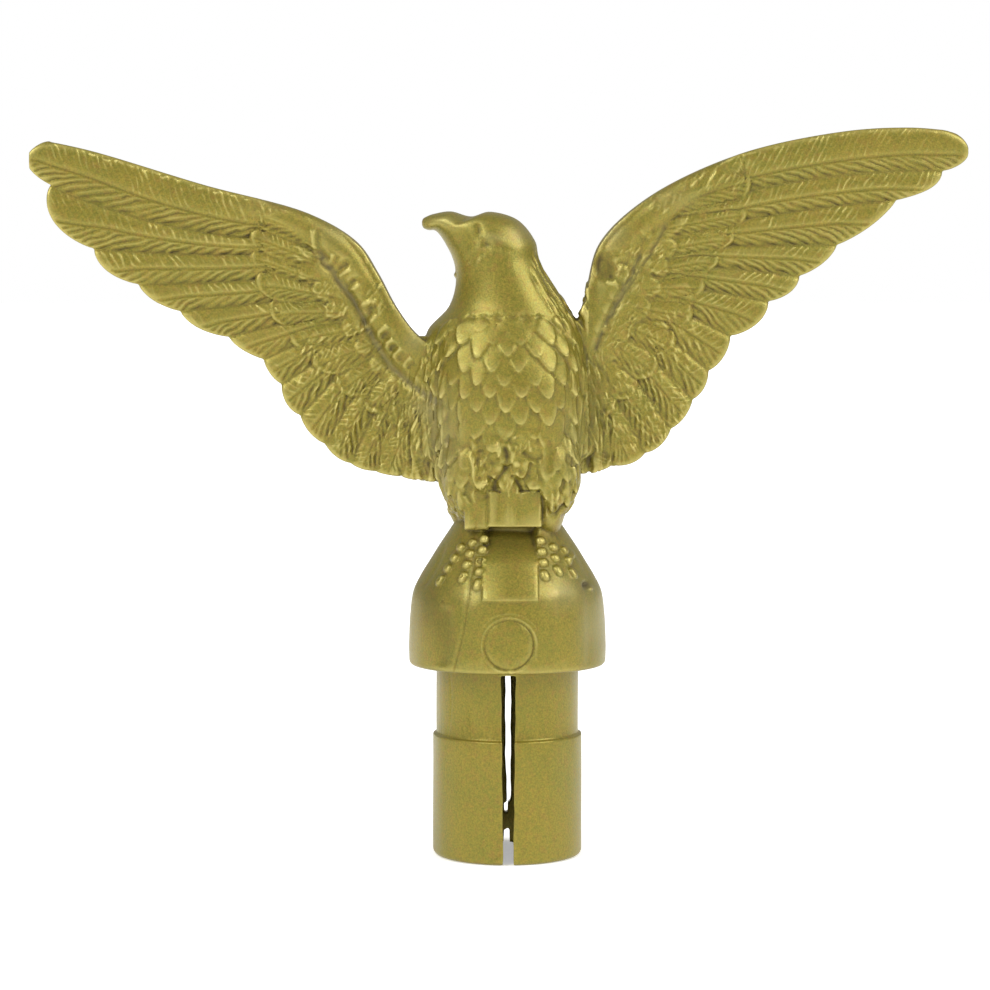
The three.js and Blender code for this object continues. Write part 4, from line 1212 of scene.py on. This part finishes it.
# worn folds between the arm and the feathers: points, half width, depth, grey
folds = [
    ([(-29.2, 91.3), (-26.6, 88.4), (-25.1, 86.0), (-23.0, 83.4), (-21.8, 81.3), (-20.4, 78.3),
      (-19.2, 76.3), (-17.4, 73.6), (-15.1, 71.5), (-12.7, 69.8), (-10.3, 68.3), (-8.5, 67.1)], 0.72, 0.55,
     0.2),
    ([(20.2, 90.7), (19.0, 88.4), (17.8, 86.0), (16.6, 84.0), (15.5, 81.9), (14.6, 79.8), (13.7, 77.5),
      (12.8, 75.1)], 0.45, 0.4, 0.12),
    ([(24.0, 95.3), (22.6, 92.4), (21.1, 89.9), (19.6, 87.8), (18.4, 85.7), (16.9, 83.4), (16.1, 81.9),
      (15.2, 80.1)], 0.4, 0.3, 0.1),
]
# ridges beside the folds, with a hollow on their left hand as they run
ridgeLook = {"width": 0.24, "height": 0.22, "inner": 0.6, "hollow": 0.2}
ridges = [
    [(-29.0, 94.0), (-29.0, 92.4), (-28.7, 90.7), (-27.6, 89.4)],
    [(-26.0, 90.4), (-26.6, 89.0), (-27.4, 89.6)], [(-25.2, 86.6), (-24.2, 87.4), (-23.1, 88.0)],
    [(-23.7, 84.6), (-22.8, 85.1), (-21.9, 85.9)],
    [(-19.3, 83.4), (-20.9, 83.1), (-21.7, 82.7), (-22.2, 82.0)],
    [(-20.9, 78.9), (-20.4, 80.1), (-19.4, 81.3)],
    [(-17.6, 79.7), (-18.6, 79.2), (-19.3, 78.5), (-19.6, 77.5)],
    [(-16.9, 77.7), (-17.9, 77.1), (-18.3, 75.9)], [(-15.7, 76.4), (-16.7, 75.6), (-17.2, 74.6)],
    [(-14.2, 75.0), (-15.2, 74.2), (-15.6, 73.2)], [(14.6, 86.1), (15.8, 85.6), (17.0, 84.9)],
    [(16.2, 87.9), (17.6, 88.0), (18.3, 86.6)],
]
# small worn feathers beside the folds, each with its tip standing
# proud: x, z, half length, half width, heading, height
leaves = [
    (-29.6, 87.5, 1.5, 1.05, 205, 0.3), (-27.4, 84.9, 1.5, 1.5, 225, 0.42),
    (-25.6, 82.1, 1.6, 1.6, 235, 0.42), (-23.3, 79.3, 1.4, 1.4, 240, 0.34),
    (-21.4, 76.5, 1.3, 1.2, 240, 0.3), (-19.4, 73.9, 1.2, 1.1, 240, 0.24),
    (-30.2, 90.1, 1.9, 0.85, 200, 0.2), (20.7, 93.7, 1.3, 0.9, -70, 0.3), (19.0, 91.6, 1.7, 0.9, -95, 0.34),
    (17.8, 89.5, 1.0, 0.8, -60, 0.24), (16.8, 86.8, 1.2, 1.25, -50, 0.3), (16.0, 84.3, 1.1, 1.0, -55, 0.28),
    (15.0, 82.1, 1.0, 0.95, -60, 0.24), (13.6, 79.5, 1.1, 0.9, -60, 0.22),
    (24.4, 94.0, 2.7, 1.15, 33, 0.36), (23.2, 91.2, 2.1, 1.4, -12, 0.36), (22.2, 88.7, 2.0, 1.5, -22, 0.36),
    (20.8, 85.4, 2.0, 1.6, -20, 0.32), (19.4, 82.2, 2.0, 1.7, -28, 0.3), (17.2, 79.0, 1.7, 1.5, -38, 0.26),
    (15.4, 76.0, 1.6, 1.4, -42, 0.24), (25.6, 83.7, 2.4, 2.2, -15, 0.2), (-22.6, 71.5, 2.0, 1.5, 235, 0.2),
    (-27.6, 77.4, 2.3, 1.7, 225, 0.24), (-19.0, 69.5, 1.8, 1.3, 240, 0.18),
    (22.2, 78.4, 2.2, 1.8, -30, 0.2), (19.6, 74.6, 2.0, 1.6, -38, 0.2), (17.0, 71.3, 1.9, 1.5, -42, 0.18),
]
# lumps and hollows: x, z, half widths, turn, height
lumps = [
    (14.4, 88.3, 1.9, 2.6, 10, -0.75), (15.6, 90.2, 1.2, 0.9, 0, -0.2), (11.8, 81.3, 1.3, 0.8, 20, 0.15),
    (-24.3, 88.6, 1.3, 0.9, 30, -0.2), (-22.7, 86.1, 1.2, 0.8, 30, -0.2), (-20.2, 81.6, 1.0, 1.1, 0, -0.3),
    (-18.2, 78.0, 0.9, 0.8, 0, -0.25), (-17.0, 76.2, 0.8, 0.8, 0, -0.25), (-2.2, 61.2, 1.5, 1.6, 10, 0.34),
    (-3.5, 59.0, 1.2, 1.9, 0, 0.3), (-3.5, 56.2, 1.3, 1.5, 0, 0.3), (-4.9, 60.4, 0.6, 3.6, 0, 0.22),
    (1.3, 59.3, 0.6, 0.7, 0, 0.24), (2.9, 59.0, 1.3, 1.2, 0, 0.24), (1.1, 57.6, 0.7, 1.0, 0, 0.2),
    (3.8, 56.2, 1.4, 1.0, 0, 0.2), (-0.3, 60.9, 0.9, 0.9, 0, -0.2),
]
# the left thigh's jagged edge, the grooves between the thighs and round the insert mark, and a
# nick in the right wing's top edge: points, half width, height, inner half width
thighLines = [
    ([(-5.6, 63.4), (-5.2, 61.9), (-5.6, 60.4), (-5.1, 58.8), (-5.4, 57.2), (-4.9, 55.8), (-5.2, 54.6),
      (-4.6, 53.2)], 0.2, 0.2, 0.4),
    ([(-4.6, 61.0), (-3.7, 61.3), (-2.9, 60.4)], 0.26, -0.14, None),
    ([(-4.4, 57.5), (-3.4, 57.0), (-2.6, 57.6)], 0.26, -0.12, None),
    ([(-0.7, 62.2), (-0.1, 61.0), (-0.4, 58.6), (-1.5, 57.2), (-2.1, 55.2)], 0.5, -0.42, None),
    ([(0.5, 57.8), (1.6, 56.4), (2.2, 55.0)], 0.28, -0.4, None),
    ([(0.3, 61.7), (1.8, 61.3), (3.4, 60.4), (4.9, 60.0)], 0.4, -0.18, None),
    ([(-2.9, 55.4), (-1.9, 55.4), (-0.9, 55.1)], 0.13, -0.32, None),
    ([(1.5, 55.3), (3.2, 55.4), (5.0, 55.4)], 0.14, -0.36, None),
    ([(5.0, 55.5), (5.05, 53.1), (4.95, 50.7)], 0.16, -0.26, None),
    ([(-2.8, 55.2), (-2.75, 52.7), (-2.8, 50.5)], 0.16, -0.1, None),
    ([(-4.7, 51.6), (-4.6, 49.4)], 0.1, -0.08, None),
    ([(35.0, 105.2), (35.3, 103.6), (35.7, 101.2)], 0.2, -0.14, None),
    ([(5.6, 54.6), (5.8, 51.4)], 0.14, 0.2, None), ([(6.6, 55.2), (6.4, 51.6)], 0.14, 0.2, None),
    ([(7.5, 55.6), (7.2, 52.2)], 0.14, 0.18, None),
]
# soft creases round the eye and on the cheek: points, half width, height
faceLines = [
    ([(-5.4, 93.2), (-4.6, 92.7), (-3.5, 92.0), (-1.7, 90.7)], 0.32, -0.13),
    ([(-4.6, 95.0), (-4.2, 93.8), (-4.0, 92.4)], 0.34, -0.13),
    ([(-3.4, 92.2), (-2.8, 91.0), (-2.9, 89.9)], 0.26, -0.1),
    ([(-1.7, 91.6), (-0.8, 91.0), (-0.1, 90.2)], 0.26, -0.09),
    ([(-6.8, 88.9), (-5.8, 89.4), (-4.9, 90.2)], 0.22, -0.08),
]
# ragged flash along the top edges: which wing, from and to as
# shares of its leading edge, inset, height, number of pieces
flash = [
    (0, 0.60, 0.9, 0.55, 0.22, 13), (0, 0.2, 0.55, 0.6, 0.12, 8), (1, 0.6, 0.95, 0.55, 0.16, 7),
    (1, 0.18, 0.5, 0.6, 0.1, 8),
]
# the crumpled plastic between the thighs: where it is, how high and how coarse
belly = {"at": [0, 58.8], "reach": 7.5, "squash": 0.75, "height": [0.36, 0.05], "size": [5.8, 1.5],
         "sink": 0.1}
# ovals of hairs: x, z, half widths, heading, number, length
hairPatches = [
    (-30.3, 90.6, 2.0, 1.2, -25, 22, 1.7), (-27.0, 84.9, 1.3, 0.9, 60, 12, 1.0),
    (-25.3, 82.0, 1.4, 1.0, 60, 14, 1.0), (-22.6, 78.6, 2.0, 1.6, 55, 24, 1.2),
    (-20.0, 65.5, 7.5, 6.0, 62, 230, 1.7), (-27.5, 73.5, 4.0, 4.5, 58, 90, 1.7),
    (-19.6, 84.5, 1.5, 5.0, 62, 20, 2.2), (20.5, 67.0, 6.5, 6.5, -58, 200, 1.8),
    (25.0, 77.0, 4.0, 4.5, -55, 80, 1.7), (13.4, 68.5, 1.7, 8.0, -72, 80, 2.2),
    (-12.6, 67.0, 1.6, 7.0, 76, 60, 2.2), (0.0, 59.0, 5.6, 4.5, 80, 60, 1.1),
    (30.5, 100.8, 5.0, 1.8, 62, 30, 2.0), (23.4, 98.0, 3.0, 1.4, 62, 14, 1.6),
    (22.4, 89.5, 1.7, 2.0, 40, 22, 1.4), (17.0, 80.0, 3.0, 4.0, 55, 50, 1.3),
    (18.5, 88.0, 2.4, 3.4, 62, 36, 1.5),
]


def drawFront():
    for points, width, depth, grey in folds:
        drawLine(points, width, -depth, grey=grey, fade=0.08)
    for points in ridges:
        drawLine(points, **ridgeLook)
    for leaf in leaves:
        drawLeaf(*leaf)
    for lump in lumps:
        drawLump(*lump)
    for which, start, end, inset, height, count in flash:
        lead = lineThrough(wings[which]["lead"])
        for share in np.linspace(start, end, count) + rng.uniform(-0.01, 0.01, count):
            shares = share + np.linspace(0, rng.uniform(0.006, 0.026), 4)
            way = headingOn(lead, shares)
            inwards = np.column_stack([way[:, 1], -way[:, 0]])
            edge = onLine(lead, shares) + inwards * (inset + rng.uniform(-0.2, 0.25, (4, 1)))
            line = [(wings[which]["side"] * out, up) for out, up in edge]
            drawLine(line, 0.13, height * rng.uniform(0.5, 1.2), fade=0.3)
    window, x, z = cellsNear(np.array([belly["at"]]), belly["reach"])
    grid = np.column_stack([x.ravel(), belly["squash"] * z.ravel(), np.zeros(x.size)])
    broad, fine = np.abs(noise(grid, belly["size"][0], 21)), noise(grid, belly["size"][1], 22)
    lumpy = (belly["height"][0] * broad + belly["height"][1] * fine - belly["sink"]).reshape(x.shape)
    lumpy = lumpy * smooth(6.6, 5.0, np.abs(x)) * smooth(65.5, 62.5, z) * smooth(55.4, 56.4, z)
    sheetHeights[window] += lumpy
    for points, width, height in faceLines:
        drawLine(points, width, height, fade=0.4)
    for points, width, height, inner in thighLines:
        drawLine(points, width, height, inner=inner, fade=0.08)
    for patch in hairPatches:
        drawHairs(*patch)


# the sheet's value at places, between its cells
def onSheet(values, x, z):
    c = np.clip((x - sheet["left"]) / sheet["cell"], 0, sheet["wide"] - 2)
    r = np.clip((z - sheet["low"]) / sheet["cell"], 0, sheet["tall"] - 2)
    c0, r0 = c.astype(int), r.astype(int)
    u, v = c - c0, r - r0
    return mix(mix(values[r0, c0], values[r0, c0 + 1], u),
               mix(values[r0 + 1, c0], values[r0 + 1, c0 + 1], u), v)


def pressSheet(mesh, places):
    forwards = -vertexValues(mesh, "normal")[:, 1].astype(float)
    facing = smooth(0.1, 0.45, forwards) * smooth(48.5, 50, places[:, 2])
    places[:, 1] -= onSheet(sheetHeights, places[:, 0], places[:, 2]) * facing
    return places


carving = {
    "Lower Pitch": 2.05, "Lower Slant": 1.9, "Upper Pitch": 1.05, "Upper Slant": 0.7, "Groove Depth": 0.2,
    "Ridge Height": 0.05, "Shaft Depth": 0.15, "Shaft Width": 0.2, "Reach": 0.4, "Patch Size": 4.0,
    "Shag Depth": 0.2,
}


# a tree that cuts a shaft and slanting barbs along the lanes of
# the feathers, and shaggy strokes where they are marked
def makeCarvingTree():
    tree, source = newTree("carveSkin", {**carving, "Lanes": None})
    add = partial(addNode, tree)
    here = add("GeometryNodeInputPosition")
    patches = add("GeometryNodeObjectInfo", None, {"Object": source["Lanes"]}).outputs["Geometry"]
    facts = add("GeometryNodeInputNamedAttribute", asVector, ["lane"])
    found = add("GeometryNodeSampleNearestSurface", asVector,
                {"Mesh": patches, "Value": facts, "Sample Position": here})
    proximity = add("GeometryNodeProximity", {"target_element": "FACES"},
                    {"Geometry": patches, "Sample Position": here})
    fromShaft, toTip, strength = add(split, None, [found]).outputs
    halfReach = add(maths, times, [source["Reach"], 0.5])
    near = add(ranged, softly, [proximity.outputs["Distance"], halfReach, source["Reach"], 1, 0])
    strength = add(maths, times, [strength, near])
    patchy = add(vectors, {"operation": "DIVIDE"}, [here, source["Patch Size"]])
    worn = add("ShaderNodeTexNoise", None, {"Vector": patchy, "Scale": 1, "Detail": 2})
    speck = add("ShaderNodeTexNoise", None, {"Vector": here, "Scale": 0.75, "Detail": 1})
    away = add(maths, size0, [fromShaft])
    isLower = add(maths, above, [fromShaft, 0])
    isUpper = add(maths, minus, [1, isLower])
    slant, pitch = (add(maths, plus, [add(maths, times, [isLower, source["Lower " + fact]]),
                                      add(maths, times, [isUpper, source["Upper " + fact]])])
                    for fact in ("Slant", "Pitch"))
    phase = add(maths, {"operation": "DIVIDE"}, [add(maths, timesPlus, [away, slant, toTip]), pitch])
    phase = add(maths, timesPlus, [worn, 1.6, phase])
    wave = add(maths, size0, [add(maths, sine, [add(maths, times, [phase, math.pi])])])
    # barbs are worn away in patches, and more so above the shaft
    keptLower = add(ranged, None, [worn, 0.3, 0.6, 0.45, 1])
    keptUpper = add(maths, times, [add(ranged, None, [worn, 0.38, 0.6, 0.1, 1]),
                                   add(ranged, None, [speck, 0.4, 0.6, 0.1, 1.2])])
    kept = add(maths, plus,
               [add(maths, times, [isLower, keptLower]), add(maths, times, [isUpper, keptUpper])])
    groove = add(maths, minus, [add(maths, power, [wave, 1.1]), 1])
    grooves = add(maths, times, [add(maths, times, [groove, source["Groove Depth"]]), isLower])
    ridge = add(maths, power, [wave, 6])
    ridges = add(maths, times, [add(maths, times, [ridge, source["Ridge Height"]]), isUpper])
    start = add(maths, times, [add(ranged, softly, [away, 0.15, 0.6, 0, 1]), kept])
    barbs = add(maths, times, [add(maths, plus, [grooves, ridges]), start])
    square = add(maths, power, [add(maths, {"operation": "DIVIDE"}, [away, source["Shaft Width"]]), 2])
    notch = add(maths, {"operation": "EXPONENT"}, [add(maths, times, [square, -1])])
    shaft = add(maths, times, [notch, source["Shaft Depth"]])
    relief = add(maths, times, [add(maths, minus, [barbs, shaft]), strength])
    offset = add(combine, None, {1: add(maths, times, [relief, -1])})
    strokes = add("GeometryNodeInputNamedAttribute", asVector, ["strokes"])
    strokes = add("ShaderNodeTexNoise", None,
                  {"Vector": strokes, "Scale": 1, "Detail": 1.5, "Distortion": 0.4})
    marked = add("GeometryNodeInputNamedAttribute", None, ["shag"])
    shaggy = add(maths, times, [add(ranged, softly, [strokes, 0.36, 0.64, -1, 1]), marked])
    shaggy = add(maths, times, [shaggy, source["Shag Depth"]])
    lifted = add(vectors, {"operation": "SCALE"}, {0: add("GeometryNodeInputNormal"), "Scale": shaggy})
    weight = add(maths, times, [add(maths, size0, [strength]), start])
    noted = add("GeometryNodeStoreNamedAttribute", {**asVector, "domain": "POINT"},
                {"Geometry": source["Geometry"], "Name": "barb",
                 "Value": add(combine, None, [fromShaft, phase, weight])})
    carved = add("GeometryNodeSetPosition", None,
                 {"Geometry": noted, "Offset": add(vectors, plus, [offset, lifted])})
    return closeTree(tree, source, carved)


# shaggy strokes: how long and wide they are in mm, how they lean on the right of the neck, and where
# they fade in and out on the flanks (out, left and right, and up), the neck and the waist
shag = {
    "wide": 1.15, "long": 5.5, "neckLean": 0.55, "leanFrom": 79, "onBack": 0.6, "flankIn": [8.2, 10.2],
    "flankLeft": [21, 14], "flankRight": [18, 13], "flankLow": [51, 53], "flankHigh": [79, 75],
    "neckIn": [0.6, 0.75], "neckHigh": [91, 89], "neckLow": [77, 80], "waistLow": [50.5, 52],
    "waistHigh": [57, 54], "waistIn": [5.5, 7.5], "waistOut": [11, 10],
}


# the strokes' own coordinates and how strongly they show, from 0 to 1
def shagOn(places):
    x, y, z = places.T
    out = np.abs(x)
    centre, halfWidth, halfDepth, middle = girthAt(z)
    share = (x - centre) / halfWidth
    flankOut = np.where(x < 0, smooth(*shag["flankLeft"], out), smooth(*shag["flankRight"], out))
    flank = smooth(*shag["flankIn"], out) * flankOut * smooth(*shag["flankLow"], z)
    flank = flank * smooth(*shag["flankHigh"], z)
    flank = flank * np.where(out > 12, smooth(56.5 + 0.85 * out, 54 + 0.85 * out, z), 1)
    neck = smooth(*shag["neckIn"], share) * smooth(*shag["neckHigh"], z) * smooth(*shag["neckLow"], z)
    neck = np.where(share > 0, neck, 0) * (out < 12)
    waist = smooth(*shag["waistLow"], z) * smooth(*shag["waistHigh"], z)
    waist = waist * smooth(*shag["waistIn"], out) * smooth(*shag["waistOut"], out)
    leaned = x + shag["neckLean"] * np.clip(z - shag["leanFrom"], 0, None) * (x > 0)
    strokes = np.column_stack([leaned / shag["wide"], y / shag["wide"], z / shag["long"]])
    return strokes, np.maximum(np.maximum(flank, neck), waist) * np.where(y > 1, shag["onBack"], 1)


# the whole moulding as one skin: grid size, smoothing, how
# far apart relief is measured, and how much of it shows as painted shade and highlight
skin = {
    "voxel": 0.17, "smoothing": 0.4, "passes": 2, "triangles": 196000,
    "broadPasses": 22, "finePasses": 5, "broadShare": 0.7,
    "fineShare": 0.55, "flatFrom": [0.3, 0.9], "reliefFrom": [27, 30], "stemShare": 0.2,
}

trunkShape, thighShape = makeTrunk(), makeThighs()
laneFaces = []
wingShapes = [makeWing(wing, laneFaces) for wing in wings]
wingShapes += [makeFlank(wing) for wing in wings]
print("body and wings made")
plainFront = joined([trunkShape, thighShape] + wingShapes)
skinTree = BVHTree.FromPolygons(plainFront[0].tolist(), plainFront[1].tolist())
scaleShapes = [makeBreastScales(skinTree), makeBackScales(skinTree), makeThighTufts(skinTree)]
print("scales laid")
parts = [makeBell(), makeStemHalf(-1), makeStemHalf(1), plainFront, makeShins(), makeToes(),
         makeTail(laneFaces)]
parts += scaleShapes + [ball(nub["at"], nub["size"]) for nub in (throatNub, beakBead)]
print("bell, stem, legs and tail made")

raw = asObject("rawMoulding", *joined(parts))
remesh = raw.modifiers.new("skin", "REMESH")
remesh.mode = "VOXEL"
remesh.voxel_size = skin["voxel"]
relax = raw.modifiers.new("relax", "SMOOTH")
relax.factor = skin["smoothing"]
relax.iterations = skin["passes"]
dense = evaluatedMesh(raw)
bpy.data.objects.remove(raw)
print("one skin of", len(dense.polygons), "faces")

drawFront()
places = pressSheet(dense, markBell(vertexPlaces(dense)))
dense.vertices.foreach_set("co", places.astype(np.float32).ravel())
for name, values in zip(("strokes", "shag"), shagOn(places)):
    setAttribute(dense, name, values)
dense.update()
laneObject = asObject("featherLanes", *joined([(v, q) for v, q, facts in laneFaces]))
setAttribute(laneObject.data, "lane", np.concatenate([facts for v, q, facts in laneFaces]))
dense = grownMesh(placed("uncut", dense), makeCarvingTree(), {**carving, "Lanes": laneObject})
bpy.data.objects.remove(laneObject)
print("barbs and strokes cut")


# how far each vertex stands out from a smoothed copy of the
# skin, in mm: above 0 on ridges, below 0 in creases
def reliefOf(mesh, passes):
    places = vertexPlaces(mesh)
    edges = np.zeros(len(mesh.edges) * 2, np.int32)
    mesh.edges.foreach_get("vertices", edges)
    a, b = edges.reshape(-1, 2).T
    count = np.bincount(a, minlength=len(places)) + np.bincount(b, minlength=len(places))
    count = np.maximum(count, 1)[:, None]
    soft = places.copy()
    for _ in range(passes):
        total = [np.bincount(a, soft[b, k], len(soft)) + np.bincount(b, soft[a, k], len(soft))
                 for k in range(3)]
        soft = np.stack(total, -1) / count
    return ((places - soft) * vertexValues(mesh, "normal")).sum(1)


# painted shade in creases shows everywhere, painted highlight on ridges only on faces that look forwards or
# backwards, and the stem is kept calm
broad, fine = reliefOf(dense, skin["broadPasses"]), reliefOf(dense, skin["finePasses"])
flat = smooth(*skin["flatFrom"], np.abs(vertexValues(dense, "normal")[:, 1]))
ridgesAt = (skin["fineShare"] * fine + np.maximum(broad, 0) * skin["broadShare"]) * flat
calm = mix(skin["stemShare"], 1, smooth(*skin["reliefFrom"], vertexPlaces(dense)[:, 2]))
setAttribute(dense, "relief", (np.minimum(broad, 0) + ridgesAt) * calm)
print("creases and ridges measured")

body = placed("eagle_moulding", dense)
triangles = 2 * len(dense.polygons)
if triangles > skin["triangles"]:
    thin = body.modifiers.new("thin", "DECIMATE")
    thin.ratio = skin["triangles"] / triangles
final = evaluatedMesh(body)
body.modifiers.clear()
body.data = final

places = vertexPlaces(final)
lowest, highest = (np.array(corner) / toMetres for corner in cadBox)
places = np.clip(places, lowest, highest)


# dark marks: real dirt and scuffs, and painted shade in hollows, pits, under the insert's overhang and
# beside the right wing's root: x, z, half widths, amount; on the front only
dirtAndShadeMarks = [
    (-11.5, 38.5, 2.2, 4.0, 0.36), (-9.2, 34.0, 1.4, 5.0, 0.26), (11.6, 41.2, 0.6, 0.6, 0.9),
    (12.8, 31.5, 1.8, 3.0, 0.15), (14.3, 88.2, 1.9, 2.6, 0.34), (12.8, 68.0, 1.3, 8.0, 0.3),
    (-36.0, 92.6, 1.6, 0.6, 0.25), (0.3, 47.6, 4.6, 1.5, 0.4), (66.0, 108.2, 1.3, 0.7, 0.6),
    (-0.2, 60.4, 0.9, 2.2, 0.06), (-4.3, 93.4, 0.6, 1.0, 0.14), (-3.4, 91.5, 0.9, 0.6, 0.14),
    (64.9, 107.4, 2.4, 1.6, 0.3),
]
# pale silvery patches: painted highlights on the head, shoulders, arms, thighs and the bell's right side,
# and a real scuff at the right wing's tip: x, z, half widths, amount; on the front only
rubAndHighlightMarks = [
    (-2.0, 92.5, 1.5, 0.9, 0.2), (2.0, 93.4, 1.8, 1.8, 0.3), (-8.4, 95.3, 2.6, 0.7, 0.2),
    (-24.6, 94.1, 3.4, 2.2, 0.26), (-34.0, 98.2, 5.0, 1.6, 0.14), (24.0, 98.6, 4.0, 1.8, 0.16),
    (-13.9, 77.2, 1.6, 1.6, 0.25), (15.4, 93.2, 2.4, 1.8, 0.28), (8.4, 40.6, 3.0, 2.0, 0.36),
    (12.4, 35.5, 2.0, 4.8, 0.42), (-5.4, 40.4, 1.8, 1.6, 0.16), (65.0, 108.3, 1.8, 1.0, 0.4),
    (-9.5, 62.0, 2.6, 6.0, 0.28), (-12.0, 67.5, 2.4, 2.0, 0.25), (9.5, 62.0, 1.6, 5.0, 0.15),
]


def markedBy(marks, places):
    total = np.zeros(len(places))
    for x, z, wide, tall, amount in marks:
        total += amount * bell(np.hypot((places[:, 0] - x) / wide, (places[:, 2] - z) / tall))
    return total * onFront


onFront, mostRubAndHighlight = places[:, 1] < 2, 0.7
# real dirt and painted shade
setAttribute(final, "dirt", markedBy(dirtAndShadeMarks, places))
# silver tone from real grey folds and rubbing, and painted highlight
greys = onSheet(sheetGreys, places[:, 0], places[:, 2]) * onFront
setAttribute(final, "rub", np.clip(markedBy(rubAndHighlightMarks, places) + greys, 0, mostRubAndHighlight))
final.vertices.foreach_set("co", (places * toMetres).astype(np.float32).ravel())
final.polygons.foreach_set("use_smooth", np.ones(len(final.polygons), bool))
final.materials.clear()
final.materials.append(gold)
final.update()
print("moulding has", sum(len(p.vertices) - 2 for p in final.polygons), "triangles")

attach(body, "root")
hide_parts("eagle_finial")

studio = {
    "focalPixels": 3000, "imagePixels": 990, "sensor": 36, "pitch": 3.8, "camera": [-1.86, -449.0, 84.0],
    "clip": [0.05, 100], "floorSize": 60, "paper": "#ffffff", "paperRoughness": 0.9, "glow": 0.4,
    "sky": 0.53, "softness": 35,
    "suns": {"keyLeft": ((-0.7, -0.75, 0.85), 1.38), "keyRight": ((0.95, -0.45, 0.8), 1.5)},
}


# white paper on a light table, whose glow keeps the shadow faint
def makeStage():
    corners = np.array([[-1, -1, 0], [1, -1, 0], [1, 1, 0], [-1, 1, 0]]) * studio["floorSize"] / 2
    floor = asObject("floor", corners, np.array([[0, 1, 2, 3]]))
    paper = bpy.data.materials.new("palePaper")
    paper.use_nodes = True
    shader = paper.node_tree.nodes["Principled BSDF"]
    shader.inputs["Base Color"].default_value = linear(studio["paper"])
    shader.inputs["Roughness"].default_value = studio["paperRoughness"]
    shader.inputs["Emission Color"].default_value = linear(studio["paper"])
    shader.inputs["Emission Strength"].default_value = studio["glow"]
    floor.data.materials.append(paper)


makeStage()
for name, (way, strength) in studio["suns"].items():
    lamp = bpy.data.lights.new(name, "SUN")
    lamp.energy = strength
    lamp.angle = math.radians(studio["softness"])
    placed(name, lamp).rotation_euler = Vector(way).to_track_quat("Z", "Y").to_euler()

# the tent is white to the eye and dimmer as a light, so that
# the paper and the air behind it both come out white
world = bpy.data.worlds.new("whiteTent")
world.use_nodes = True
air = world.node_tree.nodes["Background"]
seen = addNode(world.node_tree, "ShaderNodeLightPath").outputs["Is Camera Ray"]
strength = addNode(world.node_tree, ranged, None, {"Value": seen, 3: studio["sky"], 4: 1})
world.node_tree.links.new(strength.outputs[0], air.inputs["Strength"])
air.inputs["Color"].default_value = linear(studio["paper"])
bpy.context.scene.world = world
bpy.context.scene.view_settings.view_transform = "Standard"

eye = bpy.data.cameras.new("camera")
eye.sensor_width = studio["sensor"]
eye.lens = studio["focalPixels"] / studio["imagePixels"] * studio["sensor"]
eye.clip_start, eye.clip_end = studio["clip"]
camera = placed("camera", eye)
camera.location = [c * toMetres for c in studio["camera"]]
camera.rotation_euler = (math.radians(90 - studio["pitch"]), 0, 0)
bpy.context.scene.camera = camera
print("stage set")
